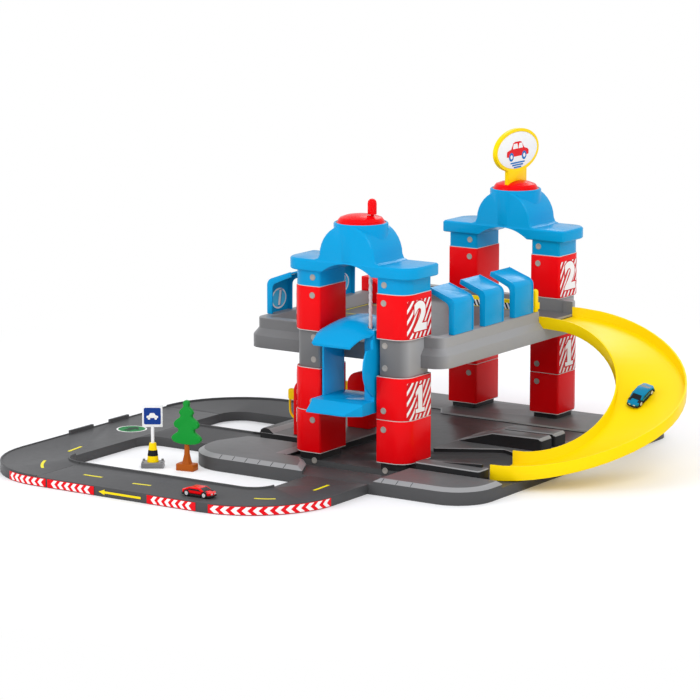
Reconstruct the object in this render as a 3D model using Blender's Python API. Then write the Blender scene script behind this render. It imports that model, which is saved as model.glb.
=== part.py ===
"""Toy parking garage with a two-tower frame, a crank lift, a deck, a curved ramp and a road loop.

Frame: +Z up, the floor is z = 0. X runs along the front edge, with the lift bay at x = 0, and Y runs from
the front tower to the rear one. All sizes below are in millimetres and MM turns them into metres.
"""

import math

import bmesh
import bpy
from mathutils import Matrix, Vector

MM = 0.001
GAP = 0.3  # between pieces that touch
RUN = 0.6  # round pieces that turn

# Towers
pillar_w = 73.0
pillar_d = 98.0
pillar_corner = 32.0
bay_w = 136.0  # between the two pillars of a tower
aisle = 514.0  # between the two towers
block_h = 88.4
upper_h = 92.0
collar_h = 77.6
block_edge = 1.6
collar_inset = 5.0
peg_w = 38.0
peg_d = 60.0
peg_h = 4.0
peg_fit = 0.3

# Base tray
road_top = 20.0
walk_h = 14.0
plinth_h = 16.0
plinth_inset = 7.0
base_left = 340.0
base_round_left = 100.0  # corners of the base, seen from above
base_round_right = 80.0
base_round_rear = 60.0
round_steps = 8
edge_sink = 5.0  # how deep a raised part reaches into what carries it
base_right = 369.0
base_front = 475.0
base_rear = 366.0
pad_slope = 12.0  # the sloping border of a sidewalk pad, seen from above
pad_drop = 7.0
pad_rear = 272.0
pad_back_in = 35.0
pad_round = 30.0
pad_side_gap = 12.0  # from the entry road to the right pad
pad_left_in = 14.0
fuel_front = -235.0
fuel_rear = -40.0
fuel_left = 34.0  # in from the edge of the base
fuel_right = -92.0
hump_w = 38.0
hump_h = 9.0
trench_w = 44.0
trench_floor = 5.0
isle_h = 9.0
isle_left = 75.0
isle_right = 330.0
isle_rear = 64.0
wedge_left = 80.0
wedge_l = 205.0
wedge_front = -60.0
wedge_h = 28.0
wedge_t = 45.0
wedge_slot = 12.0
bank_left = 150.0
bank_right = 306.0
bank_front = -345.0
bank_rear = -298.0
bank_h = 9.0
rear_pad_front = 190.0
rear_pad_h = 4.5

# Road loop
road_w = 145.0
loop_left = 668.0
loop_front = 787.0
loop_rear = 118.0
loop_r = 200.0
entry_right = 128.0
entry_r = 190.0
link_front = 345.0
link_w = 140.0
link_r = 40.0
lip_t = 4.0  # raised lips along the road edges
lip_h = 4.5
guard_h = 8.0
guards = ((-430.0, -350.0), (-292.0, -225.0))

# Deck
deck_left = 285.0
deck_right = 178.0
deck_in = 26.0  # from the middle of a tower in to the edge of the deck
deck_flare = 12.0
deck_skin = 4.5
deck_floor = 5.0
deck_corner = 24.0
rim_t = 23.0
rim_h = 26.0
rim_face = 22.0
flare_h = 14.0
skirt_h = 26.0
mouth_gap = 1.0  # from the gate to the ramp mouth
mouth_w = 142.0

# Ramp
ramp_half_w = 73.0
ramp_wall = 4.0
ramp_side = 21.0
ramp_side_end = 28.0
ramp_turn_x = 244.0
ramp_turn_rx = 258.0
ramp_turn_ry = 212.0
ramp_end_angle = 78.0
ramp_steps = 30
ramp_drop_in = 6.0
ramp_lead = 8.0  # straight piece before the turn, past the edge of the deck

# Roof
neck_h = 32.0
slab_h = 24.5
slab_over_x = 14.0
slab_over_y = 6.5
slab_corner = 38.0
arch_r = 67.0
arch_up = 9.6
arch_fillet = 12.0
cup_r = 56.0
cup_up = 68.0
under_rise = 21.5
under_half = 62.0
dome_r = 47.5
dome_h = 17.0
dome_foot = 4.0

# Crank drive
tooth_module = 2.0
crank_teeth = 44
pinion_teeth = 13
gear_t = 8.0
gear_floor = 4.0
gear_room = 1.4
screw_r = 4.2
screw_lead = 30.0
screw_angle = -36.6
shaft_r = 8.0
pin_r = 5.0
ledge = 3.0
flange_r = 50.5
handle_r = 9.5
handle_h = 40.0
handle_at = 27.0
handle_pin_r = 3.5
handle_up = 10.0  # from the roof cup to the foot of the handle
handle_stand = 1.0

# Sign
sign_half_w = 91.0
sign_half_h = 47.5
sign_t = 9.0
sign_up = 66.0
stem_w = 78.0
stem_foot = 6.0  # above the roof cup
face_t = 2.0
sign_rim = 7.0

# Lift cab
cab_half_w = 63.0
cab_rear = 279.0
cab_play = 3.0
cab_floor_z = 160.0
cab_floor_t = 24.0
cab_skin = 3.0
cab_side_front = 354.0
cab_front = 393.0
cab_lip = 25.0
cab_cut = 32.0
cab_wall = 4.0
bulge_r = 68.0
hood_front_z = 275.0
hood_brow_z = 298.0
hood_back_z = 307.0
hood_crown = 18.0
hood_t = 5.0
visor_cut = 33.0
visor_gap = 3.5  # from the cut corner of the hood to the column
column_r = 12.5
nut_r = 9.0
nut_h = 12.0
nut_up = 124.0  # above the floor of the cab
lift_down = 112.0  # how far the cab goes down from the place shown

# Canopies
canopy_w = 76.0
canopy_pitch = 120.0
canopy_first = -195.0
canopy_wall_h = 60.0
canopy_bend = 16.0
canopy_roof = 52.0
canopy_slope = 20.0
canopy_skin = 3.0
canopy_flange = 12.0

# Barrier
gate_x = 172.0
gate_gap = 25.0  # from the last canopy to the middle of the gate
gate_panel_x = -24.0
gate_w = 12.0
gate_grip = 7.0  # half the height of the arm at its pin
gate_panel_h = 22.0
gate_h = 48.0
gate_arm = 178.0
gate_arm_t = 6.0
gate_pin_r = 2.5
gate_pivot_up = 12.0

# Booth on the left rim
booth_y = 155.0
booth_d = 68.0
booth_w = 42.0
booth_h = 32.0

# Fuel stand
pump_w = 55.0
pump_d = 34.0
pump_h = 121.0
pump_spots = ((-150.0, -75.0), (-199.0, -206.0))
hose_r = 2.6
hose_bend = 20.0
hose_low = 29.5
nozzle_w = 25.0
nozzle_h = 24.0
nozzle_t = 8.0
nozzle_up = 70.3

# Cars
car_l = 70.0
car_w = 30.0
car_h = 19.0
wheel_r = 6.5
wheel_t = 6.0
axle_r = 1.2
wheelbase = 42.0
car_clear = 3.2
sill_h = 3.0
sill_out = 0.6
body_in = 0.4
nose_round = 9.0
tail_round = 5.0
axle_play = 0.5
blue_car_step = 15
blue_car_aside = 20.0
blue_car_play = 1.6
blue_car_yaw = -24.0
red_car_x = -90.0
red_car_y = -745.0

# Tree
tree_x = -302.0
tree_y = -499.0
tree_turn = 9.0
tree_block = (40.0, 26.0, 14.0)
trunk_top = 54.0
trunk_foot_r = 12.0
trunk_r = 5.0
tenon_w = 8.0
tenon_t = 4.0
tenon_h = 9.0
leaf_t = 11.0
leaf_h = 93.5
leaf_half_w = 35.0

# Road sign
post_x = -378.0
post_y = -515.0
post_turn = 33.0
post_block = (47.0, 33.0, 11.0)
prong = 5.0
prong_in = 1.6
prong_h = 3.5
cone_low_r = 12.5
cone_top_r = 7.0
cone_h = 40.0
pole_r = 3.5
board_w = 42.0
board_h = 46.0
board_t = 6.0
board_low = 85.0

# Levels and places that follow from the sizes
lower_z = road_top + plinth_h + GAP
middle_z = lower_z + block_h + GAP
collar_z = middle_z + block_h + GAP
upper_z = collar_z + collar_h + GAP
neck_z = upper_z + upper_h + GAP
slab_z = neck_z + neck_h
slab_top = slab_z + slab_h
arch_z = slab_top + arch_up
cup_top = arch_z + cup_up
gear_z = slab_top + gear_floor + GAP
pillar_x = (bay_w + pillar_w) / 2
tower_y = (aisle + pillar_d) / 2
deck_half_d = tower_y - deck_in
rim_top = collar_z + collar_h - 1.3
deck_top = rim_top - rim_h
flare_top = rim_top - rim_face
skirt_top = flare_top - flare_h
deck_low = skirt_top - skirt_h
walk_top = road_top + walk_h
crank_pitch = crank_teeth * tooth_module / 2
pinion_pitch = pinion_teeth * tooth_module / 2
screw_reach = crank_pitch + pinion_pitch
screw_x = screw_reach * math.cos(math.radians(screw_angle))
screw_y = -tower_y + screw_reach * math.sin(math.radians(screw_angle))
gate_y = canopy_first + 2 * canopy_pitch + canopy_w / 2 + gate_gap
mouth_front = gate_y + mouth_gap
mouth_rear = mouth_front + mouth_w
ramp_top_y = (mouth_front + mouth_rear) / 2
ramp_start_x = deck_right + GAP
lip_front = -cab_front - cab_lip
nut_z = cab_floor_z + nut_up
screw_low = nut_z - lift_down - 4
ramp_floor_high = deck_top - ramp_drop_in
ramp_floor_low = road_top + GAP + ramp_wall
entry_left = entry_right - road_w

# Colours, as linear values
RED = (0.72, 0.006, 0.012)
BLUE = (0.003, 0.32, 0.72)
GREY = (0.24, 0.24, 0.24)
DARK = (0.085, 0.085, 0.088)
YELLOW = (0.95, 0.64, 0.006)
WHITE = (0.85, 0.85, 0.85)
PALE = (0.55, 0.53, 0.53)
BLACK = (0.02, 0.02, 0.02)
GREEN = (0.01, 0.3, 0.04)
BROWN = (0.42, 0.09, 0.01)


def clear_scene():
    for obj in list(bpy.data.objects):
        bpy.data.objects.remove(obj, do_unlink=True)


def material(name, colour, roughness=0.35, metallic=0.0):
    found = bpy.data.materials.get(name)
    if found:
        return found
    made = bpy.data.materials.new(name)
    made.use_nodes = True
    shader = made.node_tree.nodes["Principled BSDF"]
    shader.inputs["Base Color"].default_value = (*colour, 1.0)
    shader.inputs["Roughness"].default_value = roughness
    shader.inputs["Metallic"].default_value = metallic
    made.diffuse_color = (*colour, 1.0)
    return made


def finish(name, bm, mat, at=(0, 0, 0), turn=0.0, helper=False, sharp=35.0):
    """Makes an object of a bmesh in millimetres, with its origin at `at` and turned about Z."""
    bmesh.ops.recalc_face_normals(bm, faces=bm.faces)
    bmesh.ops.scale(bm, vec=(MM, MM, MM), verts=bm.verts)
    mesh = bpy.data.meshes.new(name)
    bm.to_mesh(mesh)
    bm.free()
    if mat:
        mesh.materials.append(mat)
    mesh.shade_smooth()
    mesh.set_sharp_from_angle(angle=math.radians(sharp))
    obj = bpy.data.objects.new(name, mesh)
    bpy.context.scene.collection.objects.link(obj)
    obj.location = Vector(at) * MM
    obj.rotation_euler = (0, 0, math.radians(turn))
    if helper:
        obj.hide_render = True
        obj.display_type = "WIRE"
    return obj


def join(target, other, operation, name):
    cut = target.modifiers.new(name, "BOOLEAN")
    cut.operation = operation
    cut.object = other
    cut.solver = "EXACT"


def cut(target, name, bm, at=(0, 0, 0), turn=0.0):
    join(target, finish(name + "_cutter", bm, None, at, turn, helper=True), "DIFFERENCE", name)


def add(target, name, bm, at=(0, 0, 0), turn=0.0):
    join(target, finish(name + "_guide", bm, None, at, turn, helper=True), "UNION", name)


def keep(target, name, bm, at=(0, 0, 0), turn=0.0):
    join(target, finish(name + "_guide", bm, None, at, turn, helper=True), "INTERSECT", name)


def outline(corners, steps=6):
    """Points round a polygon whose corners are (x, y, radius). Small corners get fewer points."""
    points = []
    count = len(corners)
    for i, (x, y, r) in enumerate(corners):
        here = Vector((x, y))
        if r <= 0:
            points.append(here)
            continue
        pieces = steps if r > 12 else (2 if r > 5 else 1)
        before = (Vector(corners[i - 1][:2]) - here).normalized()
        after = (Vector(corners[(i + 1) % count][:2]) - here).normalized()
        half = before.angle(after) / 2
        centre = here + (before + after).normalized() * (r / math.sin(half))
        start = here + before * (r / math.tan(half)) - centre
        end = here + after * (r / math.tan(half)) - centre
        sweep = start.angle_signed(end)
        for k in range(pieces + 1):
            a = -sweep * k / pieces
            points.append(centre + Vector((start.x * math.cos(a) - start.y * math.sin(a),
                                           start.x * math.sin(a) + start.y * math.cos(a))))
    return points


def stack(loops):
    """A closed solid through equal loops of 3D points, lowest first."""
    bm = bmesh.new()
    rings = [[bm.verts.new(p) for p in loop] for loop in loops]
    count = len(rings[0])
    for low, high in zip(rings, rings[1:]):
        for i in range(count):
            j = (i + 1) % count
            bm.faces.new((low[i], low[j], high[j], high[i]))
    bm.faces.new(reversed(rings[0]))
    bm.faces.new(rings[-1])
    return bm


def level(points, z):
    return [(p[0], p[1], z) for p in points]


def inset(points, by):
    """The outline drawn in by a distance, corner by corner."""
    count = len(points)
    area = sum(points[i - 1][0] * points[i][1] - points[i][0] * points[i - 1][1] for i in range(count))
    side = 1 if area > 0 else -1
    moved = []
    for i in range(count):
        a = (Vector(points[i]) - Vector(points[i - 1])).normalized()
        b = (Vector(points[(i + 1) % count]) - Vector(points[i])).normalized()
        na = Vector((-a.y, a.x)) * side
        nb = Vector((-b.y, b.x)) * side
        mid = (na + nb).normalized()
        moved.append(Vector(points[i]) + mid * (by / max(mid.dot(na), 0.5)))
    return moved


def prism(points, z0, z1, soft_top=0.0, soft_low=0.0):
    """An upright prism with chamfered ends where asked."""
    loops = []
    if soft_low:
        loops.append(level(inset(points, soft_low), z0))
        loops.append(level(points, z0 + soft_low))
    else:
        loops.append(level(points, z0))
    if soft_top:
        loops.append(level(points, z1 - soft_top))
        loops.append(level(inset(points, soft_top), z1))
    else:
        loops.append(level(points, z1))
    return stack(loops)


def box(x0, x1, y0, y1, z0, z1):
    return stack([level([(x0, y0), (x1, y0), (x1, y1), (x0, y1)], z) for z in (z0, z1)])


def ring_points(r, count, cx=0.0, cy=0.0, start=0.0):
    return [(cx + r * math.cos(start + 2 * math.pi * k / count),
             cy + r * math.sin(start + 2 * math.pi * k / count)) for k in range(count)]


def turned(profile, count):
    """A solid of revolution about Z. The profile is (radius, z) from the bottom to the top."""
    bm = bmesh.new()
    rows = []
    for r, z in profile:
        if r < 1e-6:
            rows.append([bm.verts.new((0, 0, z))])
        else:
            rows.append([bm.verts.new((x, y, z)) for x, y in ring_points(r, count)])
    for low, high in zip(rows, rows[1:]):
        for i in range(count):
            j = (i + 1) % count
            if len(low) == 1:
                bm.faces.new((low[0], high[j], high[i]))
            elif len(high) == 1:
                bm.faces.new((low[i], low[j], high[0]))
            else:
                bm.faces.new((low[i], low[j], high[j], high[i]))
    if len(rows[0]) > 1:
        bm.faces.new(reversed(rows[0]))
    if len(rows[-1]) > 1:
        bm.faces.new(rows[-1])
    return bm


def along_x(points, x0, x1):
    """A prism along X through points given as (y, z)."""
    return stack([[(x, p[0], p[1]) for p in points] for x in (x0, x1)])


def along_y(points, y0, y1):
    """A prism along Y through points given as (x, z)."""
    return stack([[(p[0], y, p[1]) for p in points] for y in (y0, y1)])


def laid(bm, axis):
    """Turns a shape made round Z so that its axis runs along X or Y."""
    rows = {"X": ((0, 0, 1), (1, 0, 0), (0, 1, 0)), "Y": ((0, 1, 0), (0, 0, 1), (1, 0, 0))}
    bmesh.ops.transform(bm, matrix=Matrix(rows[axis]).to_4x4(), verts=bm.verts)
    return bm


def moved(bm, x=0.0, y=0.0, z=0.0):
    bmesh.ops.translate(bm, vec=(x, y, z), verts=bm.verts)
    return bm


def arc(cx, cy, r, a0, a1, count):
    """Points on an arc, angles in degrees."""
    return [(cx + r * math.cos(math.radians(a0 + (a1 - a0) * k / count)),
             cy + r * math.sin(math.radians(a0 + (a1 - a0) * k / count))) for k in range(count + 1)]


def swept(profile, path, ups=None):
    """Sweeps a closed profile of (side, up) points along a path of 3D points."""
    path = [Vector(p) for p in path]
    loops = []
    for i, here in enumerate(path):
        ahead = path[min(i + 1, len(path) - 1)] - path[max(i - 1, 0)]
        ahead.normalize()
        up = Vector((0, 0, 1)) if ups is None else Vector(ups)
        side = ahead.cross(up).normalized()
        lift = Vector((0, 0, 1)) if ups is None else side.cross(ahead).normalized()
        loops.append([here + side * s + lift * u for s, u in profile])
    return stack(loops)


def soft_along_y(points, y0, y1, soft):
    """As along_y, with its two end faces chamfered."""
    small = inset(points, soft)
    steps = ((small, y0), (points, y0 + soft), (points, y1 - soft), (small, y1))
    return stack([[(p[0], y, p[1]) for p in loop] for loop, y in steps])


def rounded(x0, x1, y0, y1, r, steps=4):
    return outline([(x0, y0, r), (x1, y0, r), (x1, y1, r), (x0, y1, r)], steps)


def ribbon(left, right):
    """Outline of a road between two edge lines that run the same way."""
    return list(left) + list(reversed(right))


# Towers

def pillar_plan(side_x, side_y, grow=0.0):
    """Footprint of a pillar about its own centre. The corner that faces out is a large round one."""
    w = pillar_w / 2 + grow
    d = pillar_d / 2 + grow
    corners = []
    for x, y in ((-1, -1), (1, -1), (1, 1), (-1, 1)):
        faces_out = x == side_x and y == side_y
        corners.append((x * w, y * d, max(pillar_corner + grow, 4) if faces_out else 3))
    return outline(corners, 5)


def shifted(points, x, y):
    return [(p[0] + x, p[1] + y) for p in points]


def peg_plan(side_x, side_y, clearance=0.0):
    return rounded(-peg_w / 2 - clearance, peg_w / 2 + clearance, -peg_d / 2 - clearance,
                   peg_d / 2 + clearance, 6, 3)


def tower_label(side_x, side_y):
    return ("front" if side_y < 0 else "rear") + "_" + ("left" if side_x < 0 else "right")


def corners_of_towers():
    return [(side_x, side_y) for side_y in (-1, 1) for side_x in (-1, 1)]


def build_blocks():
    plastic = material("red_plastic", RED)
    for side_x, side_y in corners_of_towers():
        plan = pillar_plan(side_x, side_y)
        place = (side_x * pillar_x, side_y * tower_y)
        for label, z, height in (("lower", lower_z, block_h), ("middle", middle_z, block_h),
                                 ("upper", upper_z, upper_h)):
            name = f"{tower_label(side_x, side_y)}_{label}_block"
            block = finish(name, prism(plan, 0, height, block_edge, block_edge), plastic, (*place, z))
            cut(block, name + "_socket", prism(peg_plan(side_x, side_y, peg_fit), -1, peg_h), (*place, z))
            add(block, name + "_peg", prism(peg_plan(side_x, side_y), height - 1, height + peg_h, 1),
                (*place, z))


# Base and roads

def pad(points, z0, top, slope, drop):
    """A sidewalk pad: upright sides, then a sloping border up to its top."""
    return stack([level(points, z0), level(points, top - drop), level(inset(points, slope), top)])


def build_base():
    tray = outline([(-base_left, -base_front, base_round_left), (base_right, -base_front, base_round_right),
                    (base_right, base_rear, base_round_rear), (-base_left, base_rear, base_round_rear)],
                   round_steps)
    body = finish("base_platform", prism(tray, 0, road_top), material("dark_grey_plastic", DARK))
    outer = pillar_x + pillar_w / 2
    tower_front = -tower_y - pillar_d / 2
    trench_front = tower_front + plinth_inset - trench_w
    left_pad = outline([(-base_left, -base_front, base_round_left),
                        (entry_left - pad_left_in, -base_front, 0), (-60, trench_front - 26, 0),
                        (-98, tower_front - 20, 0), (-outer - 4, tower_front - 20, 0),
                        (-outer - 4, -pad_rear, 0), (-base_left + pad_back_in, -pad_rear, pad_round),
                        (-base_left, -link_front - 10, pad_round)], round_steps)
    right_pad = outline([(entry_right + pad_side_gap, -base_front, 0),
                         (base_right, -base_front, base_round_right), (base_right, bank_front, 14),
                         (entry_right + pad_side_gap, bank_front, 0)], round_steps)
    for name, plan in (("left_pad", left_pad), ("right_pad", right_pad)):
        add(body, name, pad(plan, road_top - edge_sink, walk_top, pad_slope, pad_drop))
    fuel_x = -base_left + fuel_left
    fuel_pad = outline([(fuel_x, fuel_front, 3), (fuel_right, fuel_front, 12), (fuel_right, fuel_rear, 12),
                        (fuel_x, fuel_rear, 20)], 6)
    add(body, "fuel_pad", prism(fuel_pad, road_top - edge_sink, walk_top, 2))
    crest = walk_top + hump_h
    hump = [(fuel_x + 0.5, walk_top - 6), (fuel_x + hump_w, walk_top - 6),
            (fuel_x + hump_w * 0.96, walk_top - 1), (fuel_x + hump_w * 0.68, crest - 2),
            (fuel_x + hump_w * 0.5, crest), (fuel_x + hump_w * 0.28, crest),
            (fuel_x + hump_w * 0.1, crest - 4)]
    add(body, "fuel_hump", along_y(hump, fuel_front + 0.5, fuel_rear - 25))
    isle = outline([(isle_left, -150, 3), (205, -77, 20), (246, -97, 4), (262, -88, 4),
                    (isle_right, -60, 8), (isle_right, isle_rear, 8), (isle_left, isle_rear, 3)], 4)
    add(body, "service_isle", prism(isle, road_top - edge_sink, road_top + isle_h, 1.5))
    bank = outline([(bank_left, bank_front + 8, 4), (bank_right, bank_front + 3, 6),
                    (bank_right, bank_rear, 6), (bank_left, bank_rear, 4)], 2)
    add(body, "lane_bank", prism(bank, road_top - edge_sink, walk_top + bank_h, 2))
    bank_top = walk_top + bank_h
    rise = [(bank_left + 30, bank_top - 4), (bank_right - 14, bank_top - 4),
            (bank_right - 14, bank_top + 6), (bank_right - 40, bank_top + 5), (bank_left + 30, bank_top - 1)]
    add(body, "lane_rise", along_y(rise, bank_rear - 10, bank_rear - 3))
    rear_pad = outline([(-118, rear_pad_front, 10), (base_right, rear_pad_front, 6),
                        (base_right, base_rear, base_round_rear), (-base_left, base_rear, base_round_rear),
                        (-base_left, rear_pad_front + 40, 6), (-142, rear_pad_front + 40, 10)], round_steps)
    add(body, "rear_pad", prism(rear_pad, road_top - edge_sink, road_top + rear_pad_h, 3))
    isle_top = road_top + isle_h
    end = wedge_left + wedge_l
    for k in range(2):
        y = wedge_front + k * (wedge_t + wedge_slot)
        side = [(wedge_left, isle_top - 3), (end, isle_top - 3), (end, isle_top + wedge_h - 8)]
        side += arc(end - 9, isle_top + wedge_h - 9, 9, 15, 80, 3)
        side += [(wedge_left + 0.42 * wedge_l, isle_top + wedge_h - 2), (wedge_left, isle_top + 1)]
        add(body, f"wedge_{k + 1}", soft_along_y(side, y, y + wedge_t, 2))
    link_rear = -link_front + link_w
    add(body, "link_lip", box(-base_left, fuel_x + 4, link_rear - lip_t, link_rear,
                              road_top - 2, road_top + lip_h))
    trench = [(-outer + plinth_inset, tower_front + plinth_inset),
              (entry_right - 10, tower_front + plinth_inset), (entry_right - 10, trench_front),
              (-outer + plinth_inset, trench_front)]
    cut(body, "trench", prism(trench, trench_floor, walk_top + 20))
    for side_x, side_y in corners_of_towers():
        label = tower_label(side_x, side_y)
        place = (side_x * pillar_x, side_y * tower_y, 0)
        top = road_top + plinth_h
        add(body, label + "_plinth", prism(pillar_plan(side_x, side_y, -plinth_inset), 1, top), place)
        add(body, label + "_plinth_peg", prism(peg_plan(side_x, side_y), top - 1, top + peg_h, 1), place)


def build_roads():
    dark = material("dark_grey_plastic", DARK)
    seam_x = -loop_left + loop_r
    rear_seam = loop_rear - loop_r
    entry_x = entry_right - entry_r
    entry_y = -loop_front + entry_r
    bend_y = -loop_front + loop_r

    def front_edge(radius, x):
        start = (seam_x + GAP, entry_y - radius)
        return [start] + arc(entry_x, entry_y, radius, -90, 0, 12) + [(x, -base_front - GAP)]

    def bend_edge(radius, x):
        return arc(seam_x, bend_y, radius, -90, -180, 12) + [(x, rear_seam - GAP)]

    def rear_edge(radius):
        return arc(seam_x, rear_seam, radius, 180, 90, 12) + [(-base_left - GAP, rear_seam + radius)]

    entry_inner = entry_r - road_w
    plan = ribbon(front_edge(entry_r, entry_right), front_edge(entry_inner, entry_left))
    front = finish("road_front", prism(plan, 0, road_top), dark)
    lip = ribbon(front_edge(entry_inner + lip_t, entry_left + lip_t)[:-1],
                 front_edge(entry_inner, entry_left)[:-1])
    add(front, "road_front_lip", prism(lip, road_top - 2, road_top + lip_h, 1))
    inner_r = loop_r - road_w
    plan = ribbon(bend_edge(loop_r, -loop_left), bend_edge(inner_r, -loop_left + road_w))
    bend = finish("road_left_bend", prism(plan, 0, road_top), dark)
    lip = ribbon(bend_edge(inner_r + lip_t, 0)[:-1], bend_edge(inner_r, 0)[:-1])
    add(bend, "road_bend_lip", prism(lip, road_top - 2, road_top + lip_h, 1))
    rim = ribbon(bend_edge(loop_r, -loop_left), bend_edge(loop_r - lip_t, -loop_left + lip_t))
    add(bend, "road_bend_rim", prism(rim, road_top - 2, road_top + lip_h / 2, 0.8))
    for k, (low, high) in enumerate(guards):
        guard = box(-loop_left, -loop_left + lip_t + 2, low, high, road_top - 2, road_top + guard_h)
        add(bend, f"road_bend_guard_{k + 1}", guard)
    rear = finish("road_rear", prism(ribbon(rear_edge(loop_r), rear_edge(inner_r)), 0, road_top), dark)
    rim = ribbon(rear_edge(loop_r), rear_edge(loop_r - lip_t))
    add(rear, "road_rear_rim", prism(rim, road_top - 2, road_top + lip_h, 1))
    near = -loop_left + road_w + GAP
    far = -base_left - GAP
    high = -link_front + link_w
    link_low = arc(near + link_r, -link_front - link_r, link_r, 180, 90, 5) + [(far, -link_front)]

    def link_edge(radius):
        return arc(near + link_r, high + link_r, radius, 180, 270, 5) + [(far, high + link_r - radius)]

    link = finish("road_link", prism(ribbon(link_low, link_edge(link_r)), 0, road_top), dark)
    lip = ribbon(link_edge(link_r + lip_t)[2:], link_edge(link_r)[2:])
    add(link, "road_link_lip", prism(lip, road_top - 2, road_top + lip_h, 1))


# Deck, canopies and ramp

def deck_plan(grow):
    return rounded(-deck_left - grow, deck_right + grow, -deck_half_d - grow, deck_half_d + grow,
                   deck_corner + grow, 4)


def build_deck():
    grey = material("grey_plastic", GREY)
    loops = [level(deck_plan(deck_flare), deck_low), level(deck_plan(deck_flare), skirt_top),
             level(deck_plan(0), flare_top), level(deck_plan(0), rim_top - 1.5),
             level(deck_plan(-1.5), rim_top)]
    deck = finish("deck", stack(loops), grey)
    cut(deck, "tray", prism(deck_plan(-rim_t), deck_top, rim_top + 5))
    cut(deck, "underside", prism(deck_plan(deck_flare - deck_skin), deck_low - 5, deck_top - deck_floor))
    half_bay = cab_half_w + cab_play
    notch = -cab_rear + 3 * GAP
    add(deck, "bay_wall", box(-half_bay - 6, half_bay + 6, notch, notch + deck_skin, deck_low, deck_top))
    above = rim_top + 5
    clear_x = deck_right + deck_flare + 5
    cut(deck, "lift_bay", box(-half_bay, half_bay, -deck_half_d - deck_flare - 5, notch, deck_low - 5, above))
    cut(deck, "lift_exit", box(-half_bay, half_bay, notch - 5, -deck_half_d + rim_t + 1, deck_top, above))
    cut(deck, "ramp_mouth", box(deck_right - rim_t - 1, clear_x, mouth_front, mouth_rear, deck_top, above))
    seat = ramp_half_w + GAP
    cut(deck, "ramp_seat", box(deck_right, clear_x, ramp_top_y - seat, ramp_top_y + seat,
                               ramp_floor_high - ramp_wall - GAP, above))
    for side_x, side_y in corners_of_towers():
        label = tower_label(side_x, side_y)
        place = (side_x * pillar_x, side_y * tower_y, 0)
        top = collar_z + collar_h
        add(deck, label + "_collar", prism(pillar_plan(side_x, side_y, -collar_inset), collar_z, top),
            place)
        add(deck, label + "_collar_peg", prism(peg_plan(side_x, side_y), top - 1, top + peg_h, 1), place)
        cut(deck, label + "_collar_socket",
            prism(peg_plan(side_x, side_y, peg_fit), collar_z - 1, collar_z + peg_h), place)


def canopy_side():
    """Outline in (x, z) of a canopy on the right rim: a wall, a bend and a sloping roof."""
    outer = [(0, 0), (0, canopy_wall_h)] + arc(-canopy_bend, canopy_wall_h, canopy_bend, 0,
                                               90 - canopy_slope, 4)[1:]
    run = math.radians(180 - canopy_slope)
    end = (outer[-1][0] + canopy_roof * math.cos(run), outer[-1][1] + canopy_roof * math.sin(run))
    outer.append(end)
    return outer


def build_canopies():
    blue = material("blue_plastic", BLUE)
    outer = canopy_side()
    skin = [(x, z) for x, z in inset(outer + [(-canopy_skin * 4, 0)], canopy_skin)][1:len(outer)]
    inner = [(-canopy_skin, 0)] + skin[:-1] + [(outer[-1][0] - 1.6, outer[-1][1] - canopy_skin * 1.05)]
    deep = [(-canopy_flange, 0)]
    deep += [(x - canopy_flange * 0.8, z - canopy_flange * 0.5) for x, z in skin[:-1]]
    deep.append((outer[-1][0] - 2, outer[-1][1] - canopy_flange * 0.75))
    panel = outer + list(reversed(inner))
    flange = outer + list(reversed(deep))
    for side, x in ((1, deck_right), (-1, -deck_left)):
        for k in range(3):
            y = canopy_first + k * canopy_pitch
            name = f"canopy_{'right' if side > 0 else 'left'}_{k + 1}"
            place = (x, y, rim_top + GAP)
            half = canopy_w / 2
            flip = [(side * px, pz) for px, pz in panel]
            roof = finish(name, along_y(flip, -half + 1, half - 1), blue, place)
            for end in (-1, 1):
                lip = [(side * px, pz) for px, pz in flange]
                near, far = sorted((end * half, end * (half - canopy_skin)))
                add(roof, f"{name}_flange_{'near' if end < 0 else 'far'}", along_y(lip, near, far), place)


def ramp_path():
    """Middle line of the ramp floor, with its height, from the deck down to the base."""
    plan = [(ramp_start_x, ramp_top_y), (ramp_start_x + deck_flare + ramp_lead, ramp_top_y)]
    for k in range(ramp_steps + 1):
        a = math.radians(90 - (90 + ramp_end_angle) * k / ramp_steps)
        plan.append((ramp_turn_x + ramp_turn_rx * math.cos(a),
                     ramp_top_y - ramp_turn_ry + ramp_turn_ry * math.sin(a)))
    lengths = [0.0]
    for a, b in zip(plan, plan[1:]):
        lengths.append(lengths[-1] + math.dist(a, b))
    points = []
    for (x, y), run in zip(plan, lengths):
        s = max(0.0, (run - lengths[1]) / (lengths[-1] - lengths[1]))
        drop = 3 * s * s - 2 * s * s * s
        points.append((x, y, ramp_floor_high + (ramp_floor_low - ramp_floor_high) * drop))
    return points


def build_ramp():
    w = ramp_half_w
    path = [Vector(p) for p in ramp_path()]
    loops = []
    for i, here in enumerate(path):
        ahead = (path[min(i + 1, len(path) - 1)] - path[max(i - 1, 0)]).normalized()
        side = ahead.cross(Vector((0, 0, 1))).normalized()
        late = max(0.0, 3.0 * i / (len(path) - 1) - 2.0)
        top = ramp_side + (ramp_side_end - ramp_side) * late * late
        profile = [(-w, -ramp_wall), (w, -ramp_wall), (w, top), (w - ramp_wall, top), (w - ramp_wall, 0),
                   (ramp_wall - w, 0), (ramp_wall - w, top), (-w, top)]
        loops.append([here + side * s + Vector((0, 0, u)) for s, u in profile])
    finish("ramp", stack(loops), material("yellow_plastic", YELLOW))


# Roof

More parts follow.
